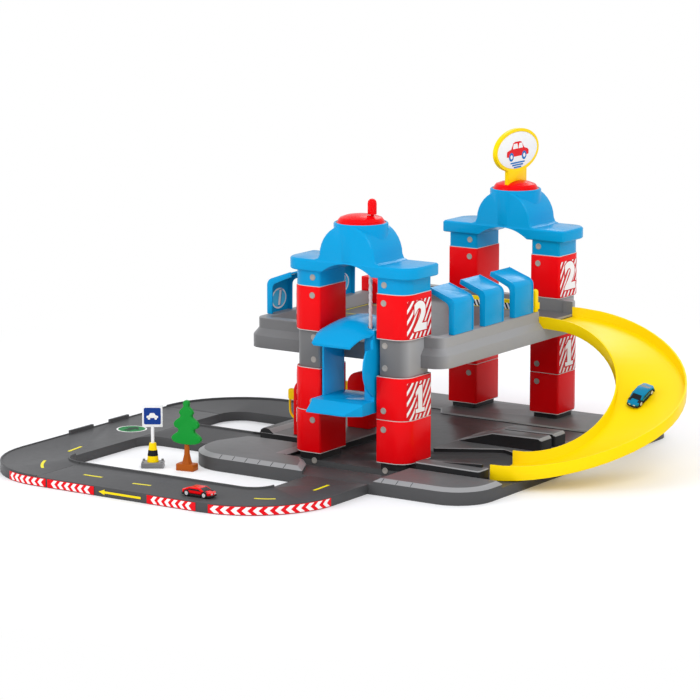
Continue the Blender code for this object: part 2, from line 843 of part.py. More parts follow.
def build_roof(name, side_y):
    """One roof arch, drawn for the front tower. The rear one is the same piece turned round."""
    place = (0, side_y * tower_y, 0)
    turn = 0 if side_y < 0 else 180
    half_x = bay_w / 2 + pillar_w + slab_over_x
    half_y = pillar_d / 2 + slab_over_y
    plan = outline([(-half_x, -half_y, slab_corner), (half_x, -half_y, slab_corner), (half_x, half_y, 8),
                    (-half_x, half_y, 8)], 6)
    roof = finish(name, prism(plan, slab_z, slab_top, 3, 2), material("blue_plastic", BLUE), place, turn)
    toe = arch_r + arch_fillet
    barrel = ([(-toe, slab_top - 10), (-toe, slab_top + 0.6), (-arch_r - 4, slab_top + 3.5)] +
              arc(0, arch_z, arch_r, 178, 2, 18) +
              [(arch_r + 4, slab_top + 3.5), (toe, slab_top + 0.6), (toe, slab_top - 10)])
    add(roof, name + "_barrel", soft_along_y(barrel, -half_y + 1, half_y - 1, 2.5), place, turn)
    add(roof, name + "_cup",
        turned([(cup_r, slab_top + 2), (cup_r, cup_top - 2), (cup_r - 2, cup_top)], 32), place, turn)
    under_r = (under_half ** 2 + under_rise ** 2) / (2 * under_rise)
    spread = math.degrees(math.asin(under_half / under_r))
    arch = arc(0, slab_z + under_rise - under_r, under_r, 90 + spread, 90 - spread, 16)
    cut(roof, name + "_arch", along_y(arch + [(under_half, slab_z - 9), (-under_half, slab_z - 9)],
                                      -half_y - 5, half_y + 5), place, turn)
    for side_x in (-1, 1):
        neck = shifted(pillar_plan(side_x, -1, -1.5), side_x * pillar_x, 0)
        hole = shifted(peg_plan(side_x, -1, peg_fit), side_x * pillar_x, 0)
        label = "left" if side_x < 0 else "right"
        add(roof, f"{name}_{label}_neck", prism(neck, neck_z, slab_z + 3), place, turn)
        cut(roof, f"{name}_{label}_socket", prism(hole, neck_z - 1, neck_z + peg_h), place, turn)
    floor = slab_top + gear_floor
    room = crank_pitch + tooth_module + gear_room
    hollow = [(room, floor), (room, cup_top - ledge), (flange_r + RUN, cup_top - ledge),
              (flange_r + RUN, cup_top + 5)]
    cut(roof, name + "_gear_room", turned(hollow, 32), place, turn)
    pinion_room = pinion_pitch + tooth_module + gear_room
    sx = screw_x
    sy = screw_y + tower_y
    cut(roof, name + "_pinion_room",
        moved(turned([(pinion_room, floor), (pinion_room, floor + gear_t + 2)], 24), sx, sy), place, turn)
    cut(roof, name + "_shaft_hole",
        turned([(pin_r + RUN, slab_z), (pin_r + RUN, floor + 5)], 20), place, turn)
    cut(roof, name + "_screw_hole",
        moved(turned([(screw_r + RUN, slab_z - 5), (screw_r + RUN, floor + 5)], 16), sx, sy), place, turn)


def dome_profile():
    seat = cup_top - ledge + GAP
    low = cup_top + dome_foot
    curve = [(dome_r * math.cos(math.radians(a)), low + (dome_h - dome_foot) * math.sin(math.radians(a)))
             for a in (0, 25, 50, 72)]
    rim = cup_top - GAP
    return [(0, seat), (flange_r, seat), (flange_r, rim), (dome_r, rim)] + curve + [(0, cup_top + dome_h)]


def build_crank():
    place = (0, -tower_y, 0)
    red = material("red_plastic", RED)
    disc = finish("crank_disc", turned(dome_profile(), 32), red, place)
    add(disc, "crank_shaft", turned([(shaft_r, gear_z), (shaft_r, cup_top)], 6), place)
    add(disc, "crank_pin", turned([(pin_r, slab_top - 1), (pin_r, gear_z + 2)], 20), place)
    sunk = cup_top + dome_foot
    bore = handle_pin_r + GAP
    hole = moved(turned([(bore, sunk), (bore, cup_top + dome_h + 5)], 12), handle_at, 0)
    cut(disc, "crank_handle_hole", hole, place)
    top = cup_top + handle_up + handle_h
    round_top = [(handle_r * math.cos(math.radians(a)), top - handle_r + handle_r * math.sin(math.radians(a)))
                 for a in (0, 30, 60)]
    foot = cup_top + dome_h + handle_stand
    stem = [(0, sunk + GAP), (handle_pin_r, sunk + GAP), (handle_pin_r, foot), (handle_r, foot),
            (handle_r, top - handle_r)]
    handle = moved(turned(stem + round_top[1:] + [(0, top)], 16), handle_at, 0)
    finish("crank_handle", handle, red, place)
    teeth = stack([level(gear_plan(crank_teeth, 0), z) for z in (gear_z, gear_z + gear_t)])
    gear = finish("crank_gear", teeth, material("white_plastic", WHITE), place)
    cut(gear, "crank_gear_bore",
        turned([(shaft_r + GAP, gear_z - 5), (shaft_r + GAP, gear_z + gear_t + 5)], 6), place)


def gear_plan(teeth, turn):
    """Outline of a spur gear with straight-sided teeth. One tooth points along `turn` degrees."""
    pitch_r = teeth * tooth_module / 2
    step = 2 * math.pi / teeth
    points = []
    for k in range(teeth):
        middle = math.radians(turn) + k * step
        for r, share in ((pitch_r - tooth_module, -0.27), (pitch_r + tooth_module * 0.8, -0.11),
                         (pitch_r + tooth_module * 0.8, 0.11), (pitch_r - tooth_module, 0.27)):
            a = middle + share * step
            points.append((r * math.cos(a), r * math.sin(a)))
    return points


def build_screw():
    place = (screw_x, screw_y, 0)
    pale = material("pale_plastic", PALE)
    top = gear_z + gear_t
    start = screw_low + 4
    end = slab_z
    turns = (end - start) / screw_lead
    steps = round(turns * 6)
    levels = [(screw_low, 0.0), (start, 0.0)]
    levels += [(start + (end - start) * k / steps, 2 * math.pi * turns * k / steps)
               for k in range(1, steps + 1)]
    levels.append((top, levels[-1][1]))
    last = levels[-1][1]
    thread = stack([level(ring_points(screw_r, 4, start=a), z) for z, a in levels])
    finish("lift_screw", thread, pale, place)
    mesh_angle = 180 + screw_angle
    phase = mesh_angle + 180 / pinion_teeth - (screw_angle % (360 / crank_teeth)) * crank_teeth / pinion_teeth
    teeth = stack([level(gear_plan(pinion_teeth, phase), z) for z in (gear_z, gear_z + gear_t)])
    gear = finish("screw_gear", teeth, material("white_plastic", WHITE), place)
    square = ring_points(screw_r + GAP * 1.5, 4, start=last)
    bore = stack([level(square, z) for z in (gear_z - 5, gear_z + gear_t + 5)])
    cut(gear, "screw_gear_bore", bore, place)


def build_sign():
    place = (0, tower_y, 0)
    dome = finish("sign_dome", turned(dome_profile(), 32), material("red_plastic", RED), place)
    add(dome, "sign_shaft", turned([(shaft_r, gear_z), (shaft_r, cup_top)], 6), place)
    add(dome, "sign_pin", turned([(pin_r, slab_top - 1), (pin_r, gear_z + 2)], 20), place)
    foot = cup_top + stem_foot
    cut(dome, "sign_slot", box(-sign_t / 2 - GAP, sign_t / 2 + GAP, -stem_w / 2 - GAP, stem_w / 2 + GAP,
                               foot, cup_top + dome_h + 5), place)
    middle = cup_top + dome_h + sign_up
    turns = [2 * math.pi * k / 40 for k in range(40)]
    oval = [(sign_half_w * math.cos(a), middle + sign_half_h * math.sin(a)) for a in turns]
    frame = finish("sign_frame", along_x(oval, -sign_t / 2, sign_t / 2),
                   material("yellow_plastic", YELLOW), place)
    stem = [(-stem_w / 2, foot + GAP), (stem_w / 2, foot + GAP), (stem_w / 2, middle - sign_half_h / 2),
            (-stem_w / 2, middle - sign_half_h / 2)]
    add(frame, "sign_stem", along_x(stem, -sign_t / 2, sign_t / 2), place)
    for side, label in ((-1, "left"), (1, "right")):
        deep = side * (sign_t / 2 - face_t)
        hole = inset(oval, sign_rim)
        cut(frame, f"sign_{label}_recess", along_x(hole, *sorted((deep, side * (sign_t / 2 + 2)))), place)
        plate = inset(oval, sign_rim + GAP)
        panel = along_x(plate, *sorted((deep + side * GAP, side * (sign_t / 2 - 0.2))))
        finish(f"sign_face_{label}", panel, material("white_plastic", WHITE), place)


# Lift

def hood_side(y):
    """Height of the hood's side edge at y."""
    known = ((-cab_front, hood_front_z), (-357, hood_brow_z), (-cab_rear - 18, hood_back_z),
             (-cab_rear, hood_back_z))
    for (y0, z0), (y1, z1) in zip(known, known[1:]):
        if y <= y1:
            return z0 + (z1 - z0) * math.sin((y - y0) / (y1 - y0) * math.pi / 2)
    return hood_back_z


def build_lift():
    blue = material("blue_plastic", BLUE)
    w = cab_half_w
    low = cab_floor_z - cab_floor_t
    cab = finish("lift_cab", box(-w, w, -cab_front, -cab_rear, low, cab_floor_z), blue)
    lip = [(-cab_front + 2, cab_floor_z), (-cab_front, cab_floor_z), (lip_front, low + 2.5),
           (lip_front, low), (-cab_front + 2, low)]
    add(cab, "cab_lip", along_x(lip, 3 - w, w))
    corner = [(w - cab_cut, lip_front - 5), (w - cab_cut, lip_front), (w, -cab_front - 3),
              (w + 5, -cab_front - 3), (w + 5, lip_front - 5)]
    cut(cab, "cab_lip_corner", prism(corner, low - 5, cab_floor_z + 5))
    left = [(-cab_side_front, cab_floor_z - 4), (-cab_rear, cab_floor_z - 4), (-cab_rear, hood_back_z - 2),
            (-cab_side_front, hood_side(-cab_side_front) - 2)]
    add(cab, "cab_left_wall", along_x(left, -w, cab_wall - w))
    reach = hood_side(-cab_side_front)
    bulge = arc(-cab_front + bulge_r + 2, (cab_floor_z + reach) / 2, bulge_r, 240, 120, 8)
    right = [(-cab_rear, cab_floor_z - 4), (-cab_rear, hood_back_z - 2)] + list(reversed(bulge))
    add(cab, "cab_right_wall", along_x(right, w - cab_wall, w))
    tube = [(screw_x, screw_y - column_r), (w, screw_y - column_r), (w, screw_y + column_r),
            (screw_x, screw_y + column_r)]
    tube += arc(screw_x, screw_y, column_r, 90, 270, 8)[1:-1]
    add(cab, "cab_column", prism(tube, low, hood_side(screw_y) + 4))
    rows = []
    for k in range(9):
        y = -cab_front + (cab_front - cab_rear) * (k / 8) ** 1.3
        swell = hood_crown * min(1.0, (y + cab_front) / 45)
        over = [(w * i / 5, hood_side(y) + swell * (1 - (i / 5) ** 2)) for i in range(-5, 6)]
        under = [((w - hood_t) * i / 5, hood_side(y) + swell * (1 - (i / 5) ** 2) - hood_t)
                 for i in range(5, -6, -1)]
        rows.append([(x, y, z) for x, z in over + under])
    add(cab, "cab_hood", stack(rows))
    visor_back = screw_y - column_r - visor_gap
    visor = [(w - visor_cut, -cab_front - 5), (w - visor_cut, -cab_front), (w, visor_back),
             (w + 5, visor_back), (w + 5, -cab_front - 5)]
    cut(cab, "cab_visor_corner", prism(visor, hood_front_z - hood_t - 2, hood_back_z + 40))
    cut(cab, "cab_underside", box(cab_skin - w, screw_x - column_r - 1, -cab_front + cab_skin,
                                  -cab_rear - cab_skin, low - 5, cab_floor_z - cab_skin))
    cut(cab, "cab_bore", turned([(screw_r + 2, low - 5), (screw_r + 2, hood_back_z + 40)], 16),
        (screw_x, screw_y, 0))
    cut(cab, "cab_nut_seat", turned([(nut_r + GAP, low - 5), (nut_r + GAP, nut_z + nut_h + GAP)], 20),
        (screw_x, screw_y, 0))
    nut = finish("lift_nut", turned([(nut_r, nut_z), (nut_r, nut_z + nut_h)], 20),
                 material("white_plastic", WHITE), (screw_x, screw_y, 0))
    cut(nut, "nut_bore", turned([(screw_r + RUN, nut_z - 5), (screw_r + RUN, nut_z + nut_h + 5)], 16),
        (screw_x, screw_y, 0))


# Barrier, booth and pumps

def build_barrier():
    yellow = material("yellow_plastic", YELLOW)
    pivot = rim_top + gate_pivot_up
    post_y = gate_y - gate_arm_t / 2 - GAP
    half = gate_w / 2
    side = [(-half, rim_top + GAP), (half, rim_top + GAP), (half, rim_top + gate_h - half)]
    side += arc(0, rim_top + gate_h - half, half, 0, 180, 8)[1:]
    post = finish("barrier_post", along_y(side, post_y - gate_w, post_y), yellow, (gate_x, 0, 0))
    hole = laid(turned([(gate_pin_r + GAP, -30), (gate_pin_r + GAP, 30)], 12), "Y")
    cut(post, "barrier_post_hole", moved(hole, 0, gate_y, pivot), (gate_x, 0, 0))
    panel_low = gate_grip - gate_panel_h
    rail = [(half, -gate_grip), (half, gate_grip), (-gate_arm, gate_grip), (-gate_arm, panel_low),
            (gate_panel_x, panel_low), (gate_panel_x, -gate_grip)]
    arm = finish("barrier_arm", along_y(rail, -gate_arm_t / 2, gate_arm_t / 2), yellow,
                 (gate_x, gate_y, pivot))
    cut(arm, "barrier_arm_hole", laid(turned([(gate_pin_r + GAP, -20), (gate_pin_r + GAP, 20)], 12), "Y"),
        (gate_x, gate_y, pivot))
    pin = turned([(gate_pin_r, -gate_w - 4), (gate_pin_r, gate_arm_t / 2 + GAP),
                  (gate_pin_r + 2, gate_arm_t / 2 + GAP), (gate_pin_r + 2, gate_arm_t / 2 + 2)], 12)
    finish("barrier_pin", laid(pin, "Y"), material("pale_plastic", PALE), (gate_x, gate_y, pivot))


def build_booth():
    left = -deck_left + rim_t
    side = [(-deck_left + 3, rim_top + GAP), (left + GAP, rim_top + GAP), (left + GAP, deck_top + GAP),
            (left + booth_w - 20, deck_top + GAP), (left + booth_w - 20, rim_top + booth_h * 0.55),
            (left + 2, rim_top + booth_h), (-deck_left + 3, rim_top + booth_h)]
    finish("deck_booth", soft_along_y(side, booth_y - booth_d / 2, booth_y + booth_d / 2, 1.2),
           material("red_plastic", RED))


def build_pumps():
    for k, (x, y) in enumerate(pump_spots):
        place = (x, y, walk_top + GAP)
        half = pump_w / 2
        side = [(-half, 0), (half, 0)] + arc(0, pump_h - half, half, 0, 180, 14)
        finish(f"pump_body_{k + 1}", soft_along_y(side, -pump_d / 2, pump_d / 2, 1.5),
               material("red_plastic", RED), place)
        yellow = material("yellow_plastic", YELLOW)
        flag_left = -half - GAP - nozzle_w
        flag = rounded(flag_left, -half - GAP, nozzle_up, nozzle_up + nozzle_h, 3, 2)
        name = f"pump_nozzle_{k + 1}"
        nozzle = finish(name, soft_along_y(flag, 0, nozzle_t, 1), yellow, place)
        hang = flag_left + hose_r + 0.5
        path = [(hang, nozzle_t / 2, nozzle_up + 4), (hang - 0.4, nozzle_t / 2, nozzle_up - 8)]
        turn_down = arc(hang + hose_bend, hose_low + hose_bend, hose_bend, 180, 268, 6)
        path += [(x, nozzle_t / 2, z) for x, z in turn_down]
        path.append((-half - GAP, nozzle_t / 2, hose_low))
        add(nozzle, name + "_hose", swept(ring_points(hose_r, 8), path, (0, 1, 0)), place)


# Loose pieces

def ramp_spot(step, aside, lift):
    """A place on the ramp floor beside its middle line, with the heading and the pitch there."""
    points = [Vector(p) for p in ramp_path()]

    def beside(k):
        along = points[k + 1] - points[k - 1]
        return points[k] + Vector((-along.y, along.x, 0)).normalized() * aside

    ahead = beside(step + 1) - beside(step - 1)
    flat = math.hypot(ahead.x, ahead.y)
    above = Vector((-ahead.x * ahead.z / flat, -ahead.y * ahead.z / flat, flat)).normalized()
    heading = math.degrees(math.atan2(ahead.y, ahead.x))
    return tuple(beside(step) + above * lift), heading, math.degrees(math.atan2(-ahead.z, flat))


def car_plan(grow):
    """Footprint of a car about its middle, with a round nose at +X."""
    far = car_l / 2 + grow
    wide = car_w / 2 + grow
    return outline([(-far, -wide, tail_round), (far, -wide, nose_round), (far, wide, nose_round),
                    (-far, wide, tail_round)], 4)


def build_car(name, place, turn, pitch, yaw, mat):
    """A small car with its nose along +X, on two axles that turn."""
    carrier = bpy.data.objects.new(name + "_place", None)
    bpy.context.scene.collection.objects.link(carrier)
    carrier.location = Vector(place) * MM
    slope = Matrix.Rotation(math.radians(turn), 3, "Z") @ Matrix.Rotation(math.radians(pitch), 3, "Y")
    carrier.rotation_euler = (slope @ Matrix.Rotation(math.radians(yaw), 3, "Z")).to_euler()
    half = car_l / 2
    low = car_clear
    body_low = low + sill_h + GAP
    side = [(-half, body_low), (half, body_low), (half, body_low + 3.5), (half - 14, body_low + 6),
            (half - 26, car_h), (-half + 20, car_h), (-half + 8, body_low + 7), (-half, body_low + 6)]
    body = finish(name + "_body", soft_along_y(side, -car_w / 2, car_w / 2, 2.2), mat)
    keep(body, name + "_plan", prism(car_plan(-body_in), low, car_h + 5))
    plate = finish(name + "_chassis", prism(car_plan(sill_out), low, low + sill_h),
                   material("dark_grey_plastic", DARK))
    for end, label in ((1, "front"), (-1, "rear")):
        x = end * wheelbase / 2
        well = wheel_t + 1.2
        for side_y in (-1, 1):
            near, far = sorted((side_y * (car_w / 2 - well), side_y * (car_w / 2 + 3)))
            room = laid(turned([(wheel_r + 1.0, near), (wheel_r + 1.0, far)], 16), "Y")
            cut(body, f"{name}_{label}_well_{'left' if side_y > 0 else 'right'}",
                moved(room, x, 0, wheel_r))
            gap = box(x - wheel_r - 1, x + wheel_r + 1, near, far, low - 2, body_low + 1)
            cut(plate, f"{name}_{label}_gap_{'left' if side_y > 0 else 'right'}", gap)
        reach = axle_r + axle_play
        for target, piece in ((body, "slot"), (plate, "groove")):
            room = box(x - reach, x + reach, -car_w, car_w, wheel_r - reach, wheel_r + reach)
            cut(target, f"{name}_{label}_{piece}", room)
        hole = moved(laid(turned([(reach, -car_w), (reach, car_w)], 10), "Y"), x, 0, wheel_r)
        cut(body, f"{name}_{label}_axle_hole", hole)
        edge = car_w / 2 - 0.5
        hub = edge - wheel_t
        profile = [(wheel_r - 0.6, -edge), (wheel_r, -edge + 0.6), (wheel_r, -hub), (axle_r, -hub),
                   (axle_r, hub), (wheel_r, hub), (wheel_r, edge - 0.6), (wheel_r - 0.6, edge)]
        axle = finish(f"{name}_{label}_axle", laid(turned(profile, 14), "Y"),
                      material("black_plastic", BLACK), (x, 0, wheel_r))
        axle.parent = carrier
    for piece in (body, plate):
        piece.parent = carrier
    for helper in [o for o in bpy.data.objects if o.name.startswith(name + "_") and o.display_type == "WIRE"]:
        helper.parent = carrier


def leaf_side():
    """Right-hand outline of the tree from the bottom to the top, as (half width, height, corner radius)."""
    shares = ((0.28, 0.00, 2), (0.62, 0.02, 3), (0.84, 0.05, 2), (1.00, 0.13, 3), (0.84, 0.20, 3),
              (0.52, 0.28, 3), (0.50, 0.34, 2), (0.76, 0.38, 3), (0.82, 0.46, 3), (0.68, 0.53, 3),
              (0.38, 0.61, 3), (0.36, 0.66, 2), (0.47, 0.70, 3), (0.38, 0.77, 3), (0.15, 0.85, 2),
              (0.19, 0.92, 3), (0.12, 0.99, 3))
    return [(w * leaf_half_w, h * leaf_h, r) for w, h, r in shares]


def build_tree():
    place = (tree_x, tree_y, 0)
    brown = material("brown_plastic", BROWN)
    half_w, half_d, high = tree_block[0] / 2, tree_block[1] / 2, tree_block[2]
    trunk = finish("tree_trunk", prism(rounded(-half_w, half_w, -half_d, half_d, 2, 2), 0, high, 1), brown,
                   place, tree_turn)
    loops = []
    for z, r in ((high - 2, trunk_foot_r), (high + 8, trunk_foot_r * 0.75), (high + 20, trunk_r * 1.25),
                 (trunk_top, trunk_r)):
        flute = [(p[0] * (0.82 if k % 2 else 1), p[1] * (0.82 if k % 2 else 1), z)
                 for k, p in enumerate(ring_points(r, 16))]
        loops.append(flute)
    add(trunk, "tree_stem", stack(loops), place, tree_turn)
    low = trunk_top + GAP
    tenon = box(-tenon_w / 2, tenon_w / 2, -tenon_t / 2, tenon_t / 2, trunk_top - 1, low + tenon_h)
    add(trunk, "tree_tenon", tenon, place, tree_turn)
    right = [(x, z + low, r) for x, z, r in leaf_side()]
    left = [(-x, z, r) for x, z, r in reversed(right)]
    leaves = outline(right + left, 3)
    foliage = finish("tree_foliage", soft_along_y(leaves, -leaf_t / 2, leaf_t / 2, 1.2),
                     material("green_plastic", GREEN), place, tree_turn)
    room = tenon_w / 2 + GAP
    cut(foliage, "tree_socket",
        box(-room, room, -tenon_t / 2 - GAP, tenon_t / 2 + GAP, low - 5, low + tenon_h + GAP),
        place, tree_turn)


def build_road_sign():
    place = (post_x, post_y, 0)
    half_w, half_d, high = post_block[0] / 2, post_block[1] / 2, post_block[2]
    base = finish("sign_post_base", prism(rounded(-half_w, half_w, -half_d, half_d, 2, 2), 0, high, 1),
                  material("grey_plastic", GREY), place, post_turn)
    for x in (-1, 1):
        for y in (-1, 1):
            near_x, far_x = sorted((x * (half_w - prong_in), x * (half_w - prong_in - prong)))
            near_y, far_y = sorted((y * (half_d - prong_in), y * (half_d - prong_in - prong)))
            add(base, f"sign_post_prong_{x}_{y}",
                box(near_x, far_x, near_y, far_y, high - 1, high + prong_h), place, post_turn)
    foot = high + GAP
    cone = finish("sign_post_cone", turned([(cone_low_r, foot), (cone_top_r, foot + cone_h)], 20),
                  material("yellow_plastic", YELLOW), place)
    cut(cone, "sign_post_cone_bore",
        turned([(pole_r + GAP, foot - 5), (pole_r + GAP, foot + cone_h + 5)], 12), place)
    top = board_low + 2
    pole = finish("sign_post_pole", turned([(pole_r, foot), (pole_r, top)], 12),
                  material("white_plastic", WHITE), place)
    panel = box(-board_w / 2, board_w / 2, -board_t / 2, board_t / 2, board_low, board_low + board_h)
    board = finish("sign_post_board", panel, material("white_plastic", WHITE), place, post_turn)
    cut(board, "sign_post_board_socket",
        turned([(pole_r + GAP, board_low - 5), (pole_r + GAP, top + GAP)], 12), place)


clear_scene()
build_base()
build_roads()
build_blocks()
build_deck()
build_canopies()
build_ramp()
build_roof("roof_front", -1)
build_roof("roof_rear", 1)
build_crank()
build_screw()
build_sign()
build_lift()
build_barrier()
build_booth()
build_pumps()
build_car("red_car", (red_car_x, red_car_y, road_top + GAP), 0, 0, 0, material("red_plastic", RED))
build_car("blue_car", *ramp_spot(blue_car_step, -blue_car_aside, blue_car_play), blue_car_yaw,
          material("blue_plastic", BLUE))
build_tree()
build_road_sign()
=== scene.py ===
import math

import bmesh
import bpy
from mathutils import Matrix, Vector


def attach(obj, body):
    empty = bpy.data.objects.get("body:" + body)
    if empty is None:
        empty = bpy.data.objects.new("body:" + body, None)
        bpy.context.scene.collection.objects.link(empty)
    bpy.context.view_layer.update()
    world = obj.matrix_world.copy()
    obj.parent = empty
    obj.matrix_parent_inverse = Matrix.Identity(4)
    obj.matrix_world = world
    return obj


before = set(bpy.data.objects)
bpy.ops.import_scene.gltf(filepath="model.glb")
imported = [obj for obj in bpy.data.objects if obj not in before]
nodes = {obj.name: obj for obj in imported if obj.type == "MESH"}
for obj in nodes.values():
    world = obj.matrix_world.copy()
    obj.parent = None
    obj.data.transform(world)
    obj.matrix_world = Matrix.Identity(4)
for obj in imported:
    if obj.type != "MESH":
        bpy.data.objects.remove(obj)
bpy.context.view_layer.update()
mm = 0.001  # every size below is in millimetres

# Measures that the pieces share, in the frame's own places
levels = {"road": 20.0, "deck": 264.0, "cup": 518.0}
pillar = {"x": 104.5, "y": 306.0, "width": 73.0, "depth": 98.0, "round": 32.0}
skin = 0.25  # how thick a sticker is
lift = 0.12  # how far a flat sticker stands off what carries it
canopies = {"centres": (-195.0, -75.0, 45.0), "sides": ((-1, -285.0, "left"), (1, 178.0, "right"))}


# Camera, light, floor

camera = {"place": (3.6246, -5.7839, 1.4871), "tilt": 79.359, "turn": 33.687, "lens": 167.97}
lamps = (
    {"name": "mainLamp", "place": (4.2, -3.4, 4.6), "aim": (0, 0, 0.2), "size": 3.6, "power": 150.0},
    {"name": "sideLamp", "place": (-3.6, -4.6, 2.6), "aim": (0, 0, 0.2), "size": 3.4, "power": 90.0},
    {"name": "backLamp", "place": (-1.5, 4.4, 3.6), "aim": (0, 0, 0.2), "size": 3.0, "power": 60.0},
)


world = {"colour": (0.97, 0.98, 1.0, 1), "strength": 0.88}
floor = {"size": 14.0, "paper": (0.86, 0.86, 0.87, 1), "glow": 0.08, "fade": (0.9, 1.7)}  # metres


def buildCamera():
    scene = bpy.context.scene
    scene.view_settings.view_transform = "Standard"
    lens = bpy.data.cameras.new("camera")
    lens.lens = camera["lens"]
    lens.sensor_width = 36.0
    lens.clip_start, lens.clip_end = 0.1, 60.0
    eye = bpy.data.objects.new("camera", lens)
    eye.location = camera["place"]
    eye.rotation_euler = (math.radians(camera["tilt"]), 0, math.radians(camera["turn"]))
    scene.collection.objects.link(eye)
    scene.camera = eye
    print("camera ready")


def buildLamps():
    for lamp in lamps:
        data = bpy.data.lights.new(lamp["name"], "AREA")
        data.shape = "DISK"
        data.size = lamp["size"]
        data.energy = lamp["power"]
        made = bpy.data.objects.new(lamp["name"], data)
        made.location = lamp["place"]
        look = Vector(lamp["aim"]) - Vector(lamp["place"])
        made.rotation_euler = look.to_track_quat("-Z", "Y").to_euler()
        bpy.context.scene.collection.objects.link(made)
    print("lamps ready:", len(lamps))


def seenOrLit(tree, lit, seen, output):
    # what the camera sees may differ from what lights the object
    path = tree.nodes.new("ShaderNodeLightPath")
    mix = tree.nodes.new("ShaderNodeMixShader")
    tree.links.new(path.outputs["Is Camera Ray"], mix.inputs[0])
    tree.links.new(lit, mix.inputs[1])
    tree.links.new(seen, mix.inputs[2])
    tree.links.new(mix.outputs[0], output)


def buildWorld():
    made = bpy.data.worlds.new("studio")
    bpy.context.scene.world = made
    made.use_nodes = True
    tree = made.node_tree
    tree.nodes.clear()
    output = tree.nodes.new("ShaderNodeOutputWorld")
    shown = tree.nodes.new("ShaderNodeBackground")
    shown.inputs["Strength"].default_value = 1.0
    lighting = tree.nodes.new("ShaderNodeBackground")
    lighting.inputs["Color"].default_value = world["colour"]
    lighting.inputs["Strength"].default_value = world["strength"]
    seenOrLit(tree, lighting.outputs[0], shown.outputs[0], output.inputs[0])
    print("world ready")


def floorPaper():
    paint = bpy.data.materials.new("floorPaper")
    paint.use_nodes = True
    tree = paint.node_tree
    shader = tree.nodes["Principled BSDF"]
    shader.inputs["Base Color"].default_value = floor["paper"]
    shader.inputs["Roughness"].default_value = 0.9
    shader.inputs["Specular IOR Level"].default_value = 0.1
    glow = tree.nodes.new("ShaderNodeEmission")
    glow.inputs["Strength"].default_value = floor["glow"]
    near = tree.nodes.new("ShaderNodeAddShader")
    tree.links.new(shader.outputs[0], near.inputs[0])
    tree.links.new(glow.outputs[0], near.inputs[1])
    place = tree.nodes.new("ShaderNodeTexCoord")
    away = tree.nodes.new("ShaderNodeVectorMath")
    away.operation = "LENGTH"
    tree.links.new(place.outputs["Object"], away.inputs[0])
    fade = tree.nodes.new("ShaderNodeMapRange")
    fade.interpolation_type = "SMOOTHSTEP"
    fade.inputs["From Min"].default_value = floor["fade"][0]
    fade.inputs["From Max"].default_value = floor["fade"][1]
    tree.links.new(away.outputs["Value"], fade.inputs["Value"])
    white = tree.nodes.new("ShaderNodeEmission")
    far = tree.nodes.new("ShaderNodeMixShader")
    tree.links.new(fade.outputs["Result"], far.inputs[0])
    tree.links.new(near.outputs[0], far.inputs[1])
    tree.links.new(white.outputs[0], far.inputs[2])
    seenOrLit(tree, shader.outputs[0], far.outputs[0], tree.nodes["Material Output"].inputs[0])
    return paint


def buildFloor():
    bm = bmesh.new()
    bmesh.ops.create_grid(bm, x_segments=1, y_segments=1, size=floor["size"])
    mesh = bpy.data.meshes.new("floor")
    bm.to_mesh(mesh)
    bm.free()
    mesh.materials.append(floorPaper())
    made = bpy.data.objects.new("floor", mesh)
    bpy.context.scene.collection.objects.link(made)
    print("floor ready")


# Materials

plastic = {"toneScale": 7.0, "drift": 0.035, "rubScale": 55.0, "rub": (-0.04, 0.05), "grainScale": 900.0,
           "grain": 0.02, "grainDepth": 0.0006, "gloss": 0.09}


def mouldedPlastic(name, colour, roughness):
    made = bpy.data.materials.new(name)
    made.use_nodes = True
    tree = made.node_tree
    shader = tree.nodes["Principled BSDF"]
    place = tree.nodes.new("ShaderNodeTexCoord")

    def noise(scale, detail):
        found = tree.nodes.new("ShaderNodeTexNoise")
        found.inputs["Scale"].default_value = scale
        found.inputs["Detail"].default_value = detail
        tree.links.new(place.outputs["Object"], found.inputs["Vector"])
        return found

    drift = plastic["drift"]
    tone = noise(plastic["toneScale"], 3.0)
    mix = tree.nodes.new("ShaderNodeMix")
    mix.data_type = "RGBA"
    darker = [c * (1 - drift) for c in colour]
    lighter = [min(1.0, c * (1 + drift) + 0.004) for c in colour]
    mix.inputs["A"].default_value = (*darker, 1)
    mix.inputs["B"].default_value = (*lighter, 1)
    tree.links.new(tone.outputs["Fac"], mix.inputs["Factor"])
    tree.links.new(mix.outputs["Result"], shader.inputs["Base Color"])

    rub = noise(plastic["rubScale"], 4.0)
    span = tree.nodes.new("ShaderNodeMapRange")
    span.inputs["To Min"].default_value = roughness + plastic["rub"][0]
    span.inputs["To Max"].default_value = roughness + plastic["rub"][1]
    tree.links.new(rub.outputs["Fac"], span.inputs["Value"])
    tree.links.new(span.outputs["Result"], shader.inputs["Roughness"])

    pores = noise(plastic["grainScale"], 2.0)
    bump = tree.nodes.new("ShaderNodeBump")
    bump.inputs["Strength"].default_value = plastic["grain"]
    bump.inputs["Distance"].default_value = plastic["grainDepth"]
    tree.links.new(pores.outputs["Fac"], bump.inputs["Height"])
    tree.links.new(bump.outputs["Normal"], shader.inputs["Normal"])
    shader.inputs["Specular IOR Level"].default_value = plastic["gloss"]
    return made


